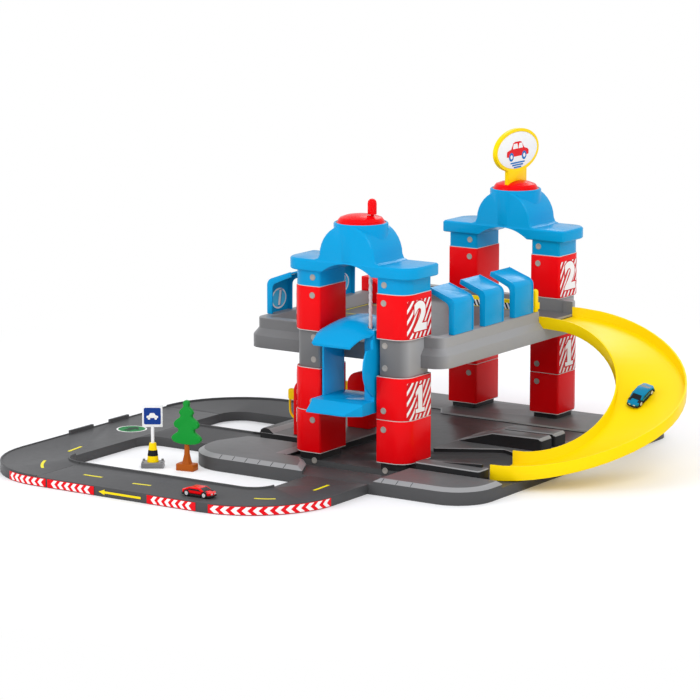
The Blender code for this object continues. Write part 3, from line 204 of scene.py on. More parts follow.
finishes = {
    "redPlastic": ((0.82, 0.0, 0.003), 0.22),
    "bluePlastic": ((0.0, 0.315, 0.64), 0.2),
    "greyPlastic": ((0.27, 0.27, 0.275), 0.34),
    "deckPlastic": ((0.27, 0.27, 0.275), 0.34),
    "roadPlastic": ((0.070, 0.070, 0.072), 0.36),
    "yellowPlastic": ((0.98, 0.68, 0.0), 0.3),
    "tealPlastic": ((0.0, 0.20, 0.36), 0.2),
    "greenPlastic": ((0.008, 0.29, 0.035), 0.34),
    "brownPlastic": ((0.40, 0.09, 0.008), 0.38),
    "whitePlastic": ((0.86, 0.86, 0.86), 0.3),
    "blackRubber": ((0.02, 0.02, 0.021), 0.45),
    "rodPlastic": ((0.55, 0.52, 0.53), 0.3),
    "capPlastic": ((0.36, 0.33, 0.30), 0.35),
    # pale paint for the painted highlight bands at the block joints
    "seamPlastic": ((0.62, 0.60, 0.58), 0.4),
    "labelRed": ((0.74, 0.004, 0.010), 0.22),
    "labelDarkRed": ((0.58, 0.006, 0.012), 0.22),
    "labelWhite": ((0.86, 0.85, 0.84), 0.22),
    "labelYellow": ((0.93, 0.70, 0.01), 0.22),
    "labelBlue": ((0.006, 0.16, 0.48), 0.22),
    "labelNavy": ((0.008, 0.045, 0.26), 0.25),
    "labelSky": ((0.08, 0.55, 0.85), 0.22),
    "labelGreen": ((0.002, 0.20, 0.045), 0.5),
    "labelDarkGreen": ((0.002, 0.045, 0.015), 0.5),
    "labelDeck": ((0.15, 0.15, 0.155), 0.3),
    "paintYellow": ((0.88, 0.76, 0.01), 0.4),
    "windowBlack": ((0.012, 0.013, 0.016), 0.12),
    "hubSilver": ((0.62, 0.62, 0.63), 0.25),
}
materials = {name: mouldedPlastic(name, *finish) for name, finish in finishes.items()}


def axes(tree, output):
    place = tree.nodes.new("ShaderNodeTexCoord")
    split = tree.nodes.new("ShaderNodeSeparateXYZ")
    tree.links.new(place.outputs[output], split.inputs[0])
    return split.outputs


def worked(tree, operation, first, second=None):
    node = tree.nodes.new("ShaderNodeMath")
    node.operation = operation
    tree.links.new(first, node.inputs[0])
    if isinstance(second, float):
        node.inputs[1].default_value = second
    elif second is not None:
        tree.links.new(second, node.inputs[1])
    return node.outputs[0]


def dimmed(made, factor, start, end, share):
    tree = made.node_tree
    shader = tree.nodes["Principled BSDF"]
    span = tree.nodes.new("ShaderNodeMapRange")
    for label, value in (("From Min", start), ("From Max", end), ("To Min", 1.0), ("To Max", share)):
        span.inputs[label].default_value = value
    tree.links.new(factor, span.inputs["Value"])
    scale = tree.nodes.new("ShaderNodeVectorMath")
    scale.operation = "SCALE"
    tree.links.new(shader.inputs["Base Color"].links[0].from_socket, scale.inputs[0])
    tree.links.new(span.outputs["Result"], scale.inputs["Scale"])
    tree.links.new(scale.outputs[0], shader.inputs["Base Color"])


# painted shade and painted light: the colour is scaled by share on faces turned along the given axis
def byFacing(made, along, share):
    size = worked(made.node_tree, "ABSOLUTE", axes(made.node_tree, "Normal")[along])
    dimmed(made, size, 0.3, 0.9, share)


def darkFloor(made, top, share):
    tree = made.node_tree
    low = worked(tree, "LESS_THAN", axes(tree, "Object")["Z"], top)
    flat = worked(tree, "GREATER_THAN", axes(tree, "Normal")["Z"], 0.9)
    dimmed(made, worked(tree, "MULTIPLY", low, flat), 0.0, 1.0, share)


# painted shade on the greys' faces turned to ±Y, painted light on those turned to ±X
for grey in ("greyPlastic", "deckPlastic"):
    byFacing(materials[grey], "Y", 0.58)
    byFacing(materials[grey], "X", 1.2)
darkFloor(materials["deckPlastic"], (levels["deck"] + 4.0) * mm, 0.5)


# side and wall are painted shade on the base's near-vertical faces, wall the darkest on those behind the
# front skirt; edge is a painted highlight on its sloped chamfers
platform = {"base": (0.130, 0.130, 0.132), "floor": (0.072, 0.072, 0.074), "side": (0.078, 0.078, 0.080),
            "wall": (0.016, 0.016, 0.017), "edge": (0.30, 0.30, 0.305),
            "flat": 0.93, "shadedSteep": 0.35, "floorTop": 22.0, "edgeLow": 20.5, "skirtBack": -349.5}


def platformPlastic():
    made = mouldedPlastic("basePlastic", platform["base"], 0.36)
    tree = made.node_tree
    shader = tree.nodes["Principled BSDF"]

    def mixed(factor, colour):
        mix = tree.nodes.new("ShaderNodeMix")
        mix.data_type = "RGBA"
        mix.inputs["B"].default_value = (*colour, 1)
        tree.links.new(factor, mix.inputs["Factor"])
        tree.links.new(shader.inputs["Base Color"].links[0].from_socket, mix.inputs["A"])
        tree.links.new(mix.outputs["Result"], shader.inputs["Base Color"])

    def both(first, second):
        return worked(tree, "MULTIPLY", first, second)

    at, up = axes(tree, "Object"), axes(tree, "Normal")["Z"]
    flat = worked(tree, "GREATER_THAN", up, platform["flat"])
    shadedSteep = worked(tree, "LESS_THAN", up, platform["shadedSteep"])
    low = worked(tree, "LESS_THAN", at["Z"], platform["floorTop"] * mm)
    high = worked(tree, "GREATER_THAN", at["Z"], platform["edgeLow"] * mm)
    behind = worked(tree, "GREATER_THAN", at["Y"], platform["skirtBack"] * mm)
    paintedHighlightSlope = both(worked(tree, "LESS_THAN", up, platform["flat"]),
                  worked(tree, "GREATER_THAN", up, platform["shadedSteep"]))
    mixed(both(low, flat), platform["floor"])
    # painted highlight on the sloped chamfers
    mixed(both(paintedHighlightSlope, high), platform["edge"])
    # painted shade on all near-vertical faces
    mixed(shadedSteep, platform["side"])
    # deeper painted shade on the raised near-vertical faces behind the front skirt
    mixed(both(shadedSteep, both(high, behind)), platform["wall"])
    return made


materials["basePlastic"] = platformPlastic()

nodeFinish = (
    ("block", "redPlastic"), ("roof_", "bluePlastic"), ("base_platform", "basePlastic"),
    ("road_", "roadPlastic"), ("deck_booth", "redPlastic"), ("deck", "deckPlastic"),
    ("canopy_", "bluePlastic"), ("ramp", "yellowPlastic"),
    ("crank_gear", "whitePlastic"), ("screw_gear", "whitePlastic"), ("crank_", "redPlastic"),
    ("lift_screw", "rodPlastic"), ("lift_nut", "whitePlastic"), ("lift_cab", "bluePlastic"),
    ("sign_dome", "redPlastic"), ("sign_frame", "yellowPlastic"), ("sign_face", "whitePlastic"),
    ("sign_post_base", "greyPlastic"), ("sign_post_cone", "yellowPlastic"), ("sign_post", "whitePlastic"),
    ("barrier_pin", "rodPlastic"), ("barrier_", "yellowPlastic"), ("pump_body", "redPlastic"),
    ("pump_nozzle", "yellowPlastic"), ("red_car_body", "redPlastic"), ("blue_car_body", "tealPlastic"),
    ("chassis", "blackRubber"), ("axle", "blackRubber"), ("tree_trunk", "brownPlastic"),
    ("tree_foliage", "greenPlastic"),
)


def roundedEdges():
    group = bpy.data.node_groups.new("smoothShading", "GeometryNodeTree")
    group.interface.new_socket("Geometry", in_out="INPUT", socket_type="NodeSocketGeometry")
    group.interface.new_socket("Geometry", in_out="OUTPUT", socket_type="NodeSocketGeometry")
    source = group.nodes.new("NodeGroupInput")
    result = group.nodes.new("NodeGroupOutput")
    smooth = group.nodes.new("GeometryNodeSetShadeSmooth")
    smooth.domain = "FACE"
    smooth.inputs["Shade Smooth"].default_value = True
    sharp = group.nodes.new("GeometryNodeSetShadeSmooth")
    sharp.domain = "EDGE"
    sharp.inputs["Shade Smooth"].default_value = False
    angle = group.nodes.new("GeometryNodeInputMeshEdgeAngle")
    test = group.nodes.new("FunctionNodeCompare")
    test.data_type = "FLOAT"
    test.operation = "GREATER_THAN"
    test.inputs["B"].default_value = math.radians(edgeLook["sharp"])
    group.links.new(angle.outputs["Unsigned Angle"], test.inputs["A"])
    group.links.new(source.outputs[0], smooth.inputs["Geometry"])
    group.links.new(smooth.outputs[0], sharp.inputs["Geometry"])
    group.links.new(test.outputs["Result"], sharp.inputs["Selection"])
    group.links.new(sharp.outputs[0], result.inputs[0])
    return group


edgeWidths = {"base_platform": 1.2, "deck": 1.2, "ramp": 1.0, "lift_cab": 1.2, "roof_": 2.2, "block": 1.0,
              "road_": 1.4, "canopy_": 0.8, "_gear": 0.15, "axle": 0.25, "chassis": 0.3, "car_body": 0.8,
              "screw": 0.3, "pin": 0.2, "nozzle": 0.3}
edgeLook = {"width": 0.7, "segments": 2, "weld": 0.00002, "flat": 0.6, "sharp": 28}  # angles in degrees


def dressNodes():
    shading = roundedEdges()
    for name, node in nodes.items():
        finish = next(found for key, found in nodeFinish if key in name)
        node.data.materials.clear()
        node.data.materials.append(materials[finish])
        width = next((found for key, found in edgeWidths.items() if key in name), edgeLook["width"])
        weld = node.modifiers.new("weld", "WELD")
        weld.merge_threshold = edgeLook["weld"]
        flat = node.modifiers.new("flat", "DECIMATE")
        flat.decimate_type = "DISSOLVE"
        flat.angle_limit = math.radians(edgeLook["flat"])
        soft = node.modifiers.new("soft", "BEVEL")
        soft.width = width * mm
        soft.segments = edgeLook["segments"]
        soft.limit_method = "ANGLE"
        soft.angle_limit = math.radians(edgeLook["sharp"])
        soft.harden_normals = False
        soft.use_clamp_overlap = True
        shade = node.modifiers.new("shade", "NODES")
        shade.node_group = shading
    print("moulded pieces finished:", len(nodes))


# Making new pieces

def merge(target, part, place=None):
    if place is not None:
        bmesh.ops.transform(part, matrix=place, verts=part.verts)
    held = bpy.data.meshes.new("held")
    part.to_mesh(held)
    part.free()
    target.from_mesh(held)
    bpy.data.meshes.remove(held)


def extruded(bm, faces, by):
    made = bmesh.ops.extrude_face_region(bm, geom=faces)["geom"]
    bmesh.ops.translate(bm, vec=by, verts=[part for part in made if isinstance(part, bmesh.types.BMVert)])
    return made


def slid(x, y, z):
    return Matrix.Translation((x, y, z))


def finishPiece(name, bm, finishNames, body, sharp=32.0):
    bmesh.ops.recalc_face_normals(bm, faces=bm.faces)
    bmesh.ops.scale(bm, vec=(mm, mm, mm), verts=bm.verts)
    mesh = bpy.data.meshes.new(name)
    bm.to_mesh(mesh)
    bm.free()
    for finishName in [finishNames] if isinstance(finishNames, str) else finishNames:
        mesh.materials.append(materials[finishName])
    mesh.shade_smooth()
    mesh.set_sharp_from_angle(angle=math.radians(sharp))
    piece = bpy.data.objects.new(name, mesh)
    bpy.context.scene.collection.objects.link(piece)
    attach(piece, body)
    return piece


def roundRect(width, height, radius, steps=4):
    points = []
    for cx, cy, start in ((1, -1, -90), (1, 1, 0), (-1, 1, 90), (-1, -1, 180)):
        for k in range(steps + 1):
            a = math.radians(start + 90 * k / steps)
            points.append((cx * (width / 2 - radius) + radius * math.cos(a),
                           cy * (height / 2 - radius) + radius * math.sin(a)))
    return points


def oval(rx, ry, steps=36):
    turns = [2 * math.pi * k / steps for k in range(steps)]
    return [(rx * math.cos(a), ry * math.sin(a)) for a in turns]


def plate(outline, thickness=skin):
    bm = bmesh.new()
    face = bm.faces.new([bm.verts.new((x, y, 0)) for x, y in outline])
    if face.normal.z < 0:
        face.normal_flip()
    extruded(bm, [face], (0, 0, thickness))
    return bm


def facing(at, normal, up=(0, 0, 1)):
    out = Vector(normal).normalized()
    across = Vector(up).cross(out).normalized()
    above = out.cross(across)
    turn = Matrix((across, above, out)).transposed().to_4x4()
    return Matrix.Translation(at) @ turn


def numeral(text, height, bold, shear=0.0):
    curve = bpy.data.curves.new("numeral", "FONT")
    curve.body = text
    curve.size = height * 1.4
    curve.shear = shear
    curve.align_x = "CENTER"
    curve.align_y = "CENTER"
    curve.offset = height * bold
    curve.extrude = skin / 2
    curve.resolution_u = 6
    held = bpy.data.objects.new("numeral", curve)
    bpy.context.scene.collection.objects.link(held)
    mesh = bpy.data.meshes.new_from_object(held.evaluated_get(bpy.context.evaluated_depsgraph_get()))
    bm = bmesh.new()
    bm.from_mesh(mesh)
    bmesh.ops.remove_doubles(bm, verts=bm.verts, dist=0.001)
    bpy.data.objects.remove(held)
    bpy.data.curves.remove(curve)
    bpy.data.meshes.remove(mesh)
    return bm


def cutAcross(bm, at, normal):
    geometry = list(bm.verts) + list(bm.edges) + list(bm.faces)
    bmesh.ops.bisect_plane(bm, geom=geometry, dist=0.0001, plane_co=at, plane_no=normal)


def curved(bm, low, high, step, bend):
    for k in range(1, int((high - low) / step) + 1):
        cutAcross(bm, (low + k * step, 0, 0), (1, 0, 0))
    for v in bm.verts:
        v.co = bend(*v.co)
    return bm


def stripedPlate(outline, pitch, share, lean):
    bm = bmesh.new()
    bm.faces.new([bm.verts.new((x, y, 0)) for x, y in outline])
    across = Vector((math.cos(math.radians(lean)), math.sin(math.radians(lean)), 0))
    reach = max(abs(across.x * x + across.y * y) for x, y in outline)
    count = int(reach / pitch) + 2
    for k in range(-count, count + 1):
        for edge in (0.0, share):
            cutAcross(bm, across * (pitch * (k + edge)), across)
    for face in bm.faces:
        part = (face.calc_center_median().dot(across) / pitch) % 1.0
        face.material_index = 1 if part < share else 0
        if face.normal.z < 0:
            face.normal_flip()
    extruded(bm, list(bm.faces), (0, 0, skin))
    return bm


# Screw caps and painted joint highlights

screwCap = {"radius": 6.6, "height": 1.6, "levels": (402, 365, 277, 231, 144, 105), "x": 87.0,
            "onNeck": 1.5, "onCollar": 5.0, "sunk": 0.4, "neck": 390.0, "collar": (213.0, 291.0),
            "plinth": (-347.6, 18.5)}


def oneCap():
    radius, height = screwCap["radius"], screwCap["height"]
    bm = bmesh.new()
    bmesh.ops.create_circle(bm, cap_ends=True, radius=radius, segments=20)
    made = extruded(bm, bm.faces[:], (0, 0, height))
    face = next(part for part in made if isinstance(part, bmesh.types.BMFace))
    bmesh.ops.bevel(bm, geom=list(face.edges), offset=height * 0.6, offset_type="OFFSET", segments=3,
                    profile=0.5, affect="EDGES", material=-1, clamp_overlap=True)
    crown = max(bm.faces, key=lambda f: f.calc_center_median().z)
    bmesh.ops.inset_region(bm, faces=[crown], thickness=radius * 0.32)
    bmesh.ops.translate(bm, vec=(0, 0, -height * 0.45), verts=crown.verts)
    return bm


def capStand(z):
    low, high = screwCap["collar"]
    if z > screwCap["neck"]:
        return screwCap["onNeck"]
    return screwCap["onCollar"] if low < z < high else 0.0


def buildCaps():
    for side, label in ((-1, "front"), (1, "rear")):
        for outward, face in ((side, "outer"), (-side, "inner")):
            caps = bmesh.new()
            y = side * pillar["y"] + outward * pillar["depth"] / 2
            for x in (-screwCap["x"], screwCap["x"]):
                for z in screwCap["levels"]:
                    at = (x, y - outward * (capStand(z) + screwCap["sunk"]), z)
                    merge(caps, oneCap(), facing(at, (0, outward, 0)))
            finishPiece(f"screw_caps_{label}_{face}", caps, "capPlastic", "garage")
    caps = bmesh.new()
    for x in (-screwCap["x"], screwCap["x"]):
        merge(caps, oneCap(), facing((x, *screwCap["plinth"]), (0, -1, 0)))
    finishPiece("screw_caps_plinths", caps, "capPlastic", "garage")
    print("screw caps ready")


# pale bands at the block joints: a painted highlight where the joint chamfers catch light
seamHighlight = {"height": 1.3, "proud": 0.1, "levels": (383.75, 291.45, 213.55, 124.85, 36.15)}


def pillarOutline(sideX, sideY, grow):
    points = []
    for cx, cy in ((-1, -1), (1, -1), (1, 1), (-1, 1)):
        radius = (pillar["round"] if (cx, cy) == (sideX, sideY) else 3.0) + grow
        steps = 6 if radius > 10 else 3
        start = {(-1, -1): 180, (1, -1): 270, (1, 1): 0, (-1, 1): 90}[(cx, cy)]
        for k in range(steps + 1):
            a = math.radians(start + 90 * k / steps)
            points.append((cx * (pillar["width"] / 2 + grow - radius) + radius * math.cos(a),
                           cy * (pillar["depth"] / 2 + grow - radius) + radius * math.sin(a)))
    return points


def ringBand(outline, z, height, wall, taper=1.0):
    bm = bmesh.new()
    rim = [bm.verts.new((x, y, z - height / 2)) for x, y in outline]
    edges = [bm.edges.new((a, b)) for a, b in zip(rim, rim[1:] + rim[:1])]
    raised = bmesh.ops.extrude_edge_only(bm, edges=edges)["geom"]
    upper = [v for v in raised if isinstance(v, bmesh.types.BMVert)]
    bmesh.ops.scale(bm, vec=(taper, taper, 1), verts=upper)
    bmesh.ops.translate(bm, vec=(0, 0, height), verts=upper)
    bmesh.ops.recalc_face_normals(bm, faces=bm.faces)
    bmesh.ops.solidify(bm, geom=list(bm.faces), thickness=wall)
    return bm


def buildSeams():
    for sideX in (-1, 1):
        for sideY in (-1, 1):
            bands = bmesh.new()
            for z in seamHighlight["levels"]:
                band = ringBand(pillarOutline(sideX, sideY, seamHighlight["proud"] - 0.9), z, seamHighlight["height"], 1.0)
                merge(bands, band, slid(sideX * pillar["x"], sideY * pillar["y"], 0))
            label = ("front" if sideY < 0 else "rear") + "_" + ("left" if sideX < 0 else "right")
            finishPiece(f"seam_highlights_{label}", bands, "seamPlastic", "garage")
    print("block seam_highlights ready")


# Stickers

blockSticker = {"from": -44.5, "to": 37.0, "height": 77.0, "round": 4.0, "pitch": 12.5, "share": 0.6,
                "lean": -34.0, "digitHeight": 56.0, "digitUp": 2.0, "digitWiden": 1.15, "edge": 2.6,
                "bold": 0.065, "step": 4.0, "levels": (("1", 165.0), ("2", 332.6))}


def onBlockSide(sideX, sideY, middle):
    flat = pillar["depth"] / 2 - pillar["round"]

    def bend(u, v, w):
        t = sideX * sideY * u
        out = lift + w
        if t > flat:
            a = (t - flat) / pillar["round"]
            t = flat + (pillar["round"] + out) * math.sin(a)
            x = pillar["width"] / 2 - pillar["round"] + (pillar["round"] + out) * math.cos(a)
        else:
            x = pillar["width"] / 2 + out
        return Vector((sideX * (pillar["x"] + x), sideY * (pillar["y"] + t), middle + v))

    return bend


def blockOne(height, grow):
    half = height / 2
    stem, foot, flag = half * 0.24, half * 0.30, half * 0.52
    return [(-stem * 0.4 - grow, half + grow), (stem + grow, half + grow), (stem + grow, foot - half + grow),
            (flag + grow, foot - half + grow), (flag + grow, -half - grow), (-flag - grow, -half - grow),
            (-flag - grow, foot - half + grow), (-stem - grow, foot - half + grow),
            (-stem - grow, half * 0.42 - grow), (-flag - grow, half * 0.24 - grow),
            (-flag - grow, half * 0.56 + grow)]


def levelDigit(number, grow):
    height = blockSticker["digitHeight"]
    if number == "1":
        return plate(blockOne(height, grow))
    return numeral(number, height, blockSticker["bold"] + grow / height)


def buildBlockStickers():
    size = blockSticker
    width = size["to"] - size["from"]
    widen = Matrix.Scale(size["digitWiden"], 4, (1, 0, 0))
    for number, z in size["levels"]:
        for sideX, label in ((1, "right"), (-1, "left")):
            base, rims, marks = bmesh.new(), bmesh.new(), bmesh.new()
            for sideY in (-1, 1):
                middle = sideX * sideY * (size["from"] + size["to"]) / 2
                low, high = middle - width / 2, middle + width / 2
                bend = onBlockSide(sideX, sideY, z)
                shape = [(x + middle, y) for x, y in roundRect(width, size["height"], size["round"])]
                sheet = stripedPlate(shape, size["pitch"], size["share"], size["lean"])
                merge(base, curved(sheet, low, high, size["step"], bend))
                for target, grow, out in ((rims, size["edge"], 1.2), (marks, 0.0, 2.2)):
                    digit = levelDigit(number, grow)
                    spot = slid(middle, size["digitUp"], skin * out)
                    bmesh.ops.transform(digit, verts=digit.verts, matrix=spot @ widen)
                    merge(target, curved(digit, low, high, size["step"], bend))
            end = f"{number}_{label}"
            finishPiece(f"level_sticker_{end}", base, ("labelWhite", "labelDarkRed"), "garage")
            finishPiece(f"level_number_edge_{end}", rims, "labelDarkRed", "garage")
            finishPiece(f"level_number_{end}", marks, "labelWhite", "garage")
    print("level stickers ready")


canopySticker = {"wide": 27.0, "high": 22.0, "rim": 3.4, "z": 318.0, "wall": 3.0, "digitHeight": 30.0,
                 "shear": 0.18, "bold": 0.06, "shadeBold": 0.11}


def buildCanopyStickers():
    size = canopySticker
    wide, high = size["wide"], size["high"]
    for side, edge, label in canopies["sides"]:
        rims, fills, shades, digits = bmesh.new(), bmesh.new(), bmesh.new(), bmesh.new()
        for count, y in enumerate(canopies["centres"], 1):
            place = facing((edge - side * (size["wall"] + lift), y, size["z"]), (-side, 0, 0))
            merge(rims, plate(oval(wide, high)), place)
            merge(fills, plate(oval(wide - size["rim"], high - size["rim"])), place @ slid(0, 0, 0.2))
            spot = place @ slid(0, 0, 0.45)
            shade = numeral(str(count), size["digitHeight"], size["shadeBold"], size["shear"])
            digit = numeral(str(count), size["digitHeight"], size["bold"], size["shear"])
            merge(shades, shade, spot @ slid(1.2, 0, 0))
            merge(digits, digit, spot @ slid(0, 0, 0.3))
        finishPiece(f"bay_sticker_rim_{label}", rims, "labelWhite", "garage")
        finishPiece(f"bay_sticker_{label}", fills, "labelSky", "garage")
        finishPiece(f"bay_number_shade_{label}", shades, "labelBlue", "garage")
        finishPiece(f"bay_number_{label}", digits, "labelWhite", "garage")
    print("bay stickers ready")


carMark = {"length": 92.0, "height": 34.0, "face": 4.35, "up": 83.0, "thick": 0.3,
           "wheelX": 27.0, "wheelY": -13.0, "tyre": 9.5, "hub": 4.5,
           "windows": ((-10, 15, 22), (12, 12, 18)), "windowY": (4, 15),
           "lines": ((60, -27.0), (46, -32.0), (32, -37.0))}


def carProfile(length, height):
    share = ((-0.50, 0.10), (-0.49, 0.42), (-0.40, 0.50), (-0.30, 0.54), (-0.20, 0.94), (-0.12, 1.0),
             (0.10, 1.0), (0.18, 0.94), (0.30, 0.55), (0.44, 0.46), (0.50, 0.36), (0.50, 0.10),
             (0.42, 0.06), (-0.42, 0.06))
    return [(x * length, (y - 0.5) * height) for x, y in share]


def buildSignMarks():
    size = carMark
    thick, (foot, top) = size["thick"], size["windowY"]
    for side, label in ((-1, "left"), (1, "right")):
        body, trim, windows = bmesh.new(), bmesh.new(), bmesh.new()
        place = facing((side * size["face"], pillar["y"], levels["cup"] + size["up"]), (side, 0, 0))
        merge(body, plate(carProfile(size["length"], size["height"]), thick), place @ slid(0, 2.0, 0))
        for x in (-size["wheelX"], size["wheelX"]):
            wheel = place @ slid(x, size["wheelY"], 0.25)
            merge(trim, plate(oval(size["tyre"], size["tyre"], 24), thick), wheel)
            merge(windows, plate(oval(size["hub"], size["hub"], 20), thick), wheel @ slid(0, 0, 0.25))
        for x, low, high in size["windows"]:
            window = [(x - high / 2, foot), (x + high / 2, foot), (x + low / 2, top), (x - low / 2, top)]
            merge(windows, plate(window, thick), place @ slid(0, 0, 0.28))
        for width, y in size["lines"]:
            merge(trim, plate(roundRect(width, 3.2, 1.4, 3), thick), place @ slid(0, y, 0))
        finishPiece(f"sign_mark_car_{label}", body, "labelRed", "sign")
        finishPiece(f"sign_mark_trim_{label}", trim, "labelBlue", "sign")
        finishPiece(f"sign_mark_windows_{label}", windows, "labelWhite", "sign")
    print("sign marks ready")


deckMarks = {"line": 3.0, "left": -256.0, "right": 149.0, "middle": -75.0,
             "bays": (-249.0, -135.0, -15.0, 105.0), "bayLeft": 70.0, "bayRight": 56.0, "sideLine": 352.0,
             "sheet": 356.0, "sheetLeft": 88.0, "sheetRight": 62.0, "round": 10.0}


def buildDeckMarks():
    size = deckMarks
    z = levels["deck"] + lift
    sheet, lines = bmesh.new(), bmesh.new()
    sides = ((size["left"], 1, size["bayLeft"], size["sheetLeft"]),
             (size["right"], -1, size["bayRight"], size["sheetRight"]))
    for edge, inward, bay, wide in sides:
        shape = roundRect(wide, size["sheet"], size["round"])
        merge(sheet, plate(shape), slid(edge + inward * wide / 2, size["middle"], z))
        for y in size["bays"]:
            shape = roundRect(bay, size["line"], 1.2, 2)
            merge(lines, plate(shape), slid(edge + inward * bay / 2, y, z + 0.2))
        side = roundRect(size["line"], size["sideLine"], 1.2, 2)
        merge(lines, plate(side), slid(edge + inward * size["line"], size["middle"], z + 0.2))
    finishPiece("deck_sheet", sheet, "labelDeck", "garage")
    finishPiece("deck_lines", lines, "paintYellow", "garage")
    print("deck markings ready")


dashes = {"width": 6.0, "cuts": 6,
          "paths": (((-559, -567), (-563, -541), (-566, -515)), ((-505, -719), (-529, -697), (-545, -662)),
                    ((-397, -721), (-374, -721), (-351, -720)), ((-267, -729), (-246, -727), (-225, -724)),
                    ((11, -701), (32, -696), (48, -681)), ((69, -579), (69, -552), (67, -524)))}


def strip(points):
    first, middle, last = [Vector((*p, 0)) for p in points]
    cuts = dashes["cuts"]
    along = []
    for k in range(cuts + 1):
        t = k / cuts
        along.append(first.lerp(middle, t).lerp(middle.lerp(last, t), t))
    sides = ([], [])
    for k, here in enumerate(along):
        ahead = (along[min(k + 1, cuts)] - along[max(k - 1, 0)]).normalized()
        across = Vector((-ahead.y, ahead.x, 0)) * dashes["width"] / 2
        sides[0].append((here + across)[:2])
        sides[1].append((here - across)[:2])
    return plate(sides[0] + sides[1][::-1])


roundSticker = {"at": (-586, -315), "rim": 33.0, "disc": 29.5,
                "arrow": ((-8, -20), (8, -20), (8, 0), (19, 0), (0, 23), (-19, 0), (-8, 0))}


def buildRoadMarks():
    z = levels["road"] + lift
    marks, disc, ring, arrow = bmesh.new(), bmesh.new(), bmesh.new(), bmesh.new()
    for path in dashes["paths"]:
        merge(marks, strip(path), slid(0, 0, z))
    spot = slid(*roundSticker["at"], z)
    merge(ring, plate(oval(roundSticker["rim"], roundSticker["rim"], 40)), spot)
    merge(disc, plate(oval(roundSticker["disc"], roundSticker["disc"], 40)), spot @ slid(0, 0, 0.15))
    merge(arrow, plate(roundSticker["arrow"]), spot @ slid(0, 0, 0.3))
    finishPiece("road_dashes", marks, "paintYellow", "garage")
    finishPiece("round_sticker_rim", ring, "labelWhite", "garage")
    finishPiece("round_sticker", disc, "labelGreen", "garage")
    finishPiece("round_sticker_arrow", arrow, "labelDarkGreen", "garage")
    print("road markings ready")


skirt = {"low": 1.3, "high": 18.4, "bend": (-468.0, -587.0, 200.0), "corner": (-62.0, -597.0, 190.0),
         "front": -787.0, "red": ((230, 340), (344, 463), (595, 714), (743, 1009)), "chevron": 16.8,
         "longChevron": 21.6, "long": 200, "chevronWide": 0.42, "chevronThick": 0.5, "step": 9.0,
         "arrow": (475, 580), "arrowTip": 15, "arrowHalf": 5.5, "arrowLine": 2.2,
         "proud": 0.9, "markProud": 1.1}


def skirtPoint(run, out):
    bendX, bendY, bendR = skirt["bend"]
    cornerX, cornerY, cornerR = skirt["corner"]
    firstArc = bendR * math.pi / 2
    straight = cornerX - bendX
    if run < firstArc:
        a = math.pi + run / bendR
        return bendX + (bendR + out) * math.cos(a), bendY + (bendR + out) * math.sin(a)
    run -= firstArc
    if run < straight:
        return bendX + run, skirt["front"] - out
    run -= straight
    a = -math.pi / 2 + min(run / cornerR, math.pi / 2)
    over = max(0.0, run - cornerR * math.pi / 2)
    return cornerX + (cornerR + out) * math.cos(a), cornerY + (cornerR + out) * math.sin(a) + over


def wrapped(outline, out):
    bm = bmesh.new()
    bm.faces.new([bm.verts.new((s, z, 0)) for s, z in outline])
    extruded(bm, list(bm.faces), (0, 0, skin))
    low = min(s for s, z in outline)
    high = max(s for s, z in outline)
    return curved(bm, low, high, skirt["step"], lambda s, z, w: Vector((*skirtPoint(s, out + w), z)))


def chevron(s, pitch):
    low, high = skirt["low"] + 1, skirt["high"] - 1
    middle = (low + high) / 2
    half, thick = pitch * skirt["chevronWide"], pitch * skirt["chevronThick"]
    return [(s, middle), (s + half, low), (s + half + thick, low), (s + thick, middle),
            (s + half + thick, high), (s + half, high)]


def skirtArrow():
    start, end = skirt["arrow"]
    tip, half, line = start + skirt["arrowTip"], skirt["arrowHalf"], skirt["arrowLine"]
    middle = (skirt["low"] + skirt["high"]) / 2
    return [(start, middle), (tip, middle - half), (tip, middle - line), (end, middle - line),
            (end, middle + line), (tip, middle + line), (tip, middle + half)]


def buildSkirtStickers():
    low, high = skirt["low"], skirt["high"]
    bands, chevrons, arrow = bmesh.new(), bmesh.new(), bmesh.new()
    for start, end in skirt["red"]:
        merge(bands, wrapped([(start, low), (end, low), (end, high), (start, high)], skirt["proud"]))
        pitch = skirt["longChevron"] if end - start > skirt["long"] else skirt["chevron"]
        count = int((end - start - 2) / pitch)
        first = start + (end - start - count * pitch) / 2 + 1
        for k in range(count):
            merge(chevrons, wrapped(chevron(first + k * pitch, pitch), skirt["markProud"]))
    merge(arrow, wrapped(skirtArrow(), skirt["proud"]))
    finishPiece("skirt_sticker_red", bands, "labelRed", "garage")
    finishPiece("skirt_chevrons", chevrons, "labelWhite", "garage")
    finishPiece("skirt_arrow", arrow, "labelYellow", "garage")
    print("skirt stickers ready")


gatePanel = {"left": -4.0, "right": 146.0, "low": 288.5, "high": 301.5, "y": (105.0, 111.0), "pitch": 8.0,
             "lean": 25.0}


def buildGatePanel():
    size = gatePanel
    x, z = (size["left"] + size["right"]) / 2, (size["low"] + size["high"]) / 2
    shape = roundRect(size["right"] - size["left"], size["high"] - size["low"], 1.2, 2)
    panel = bmesh.new()
    for y, out in zip(size["y"], (-1, 1)):
        stripes = stripedPlate(shape, size["pitch"], 0.5, size["lean"] * -out)
        merge(panel, stripes, facing((x, y + out * lift, z), (0, out, 0)))
    finishPiece("barrier_stripes", panel, ("labelWhite", "windowBlack"), "barrier")
    print("barrier stripes ready")


postSign = {"at": (-378.0, -515.0, 108.0), "turn": 33.0, "half": 3.0, "square": 35.0, "car": (24.0, 11.0),
            "wheel": 2.6, "wheels": ((-7, -5.0), (7, -5.0)),
            "cone": {"low": 12.5, "high": 7.0, "foot": 11.3, "rise": 40.0, "band": (24.5, 36.5),
                     "proud": 0.3}}


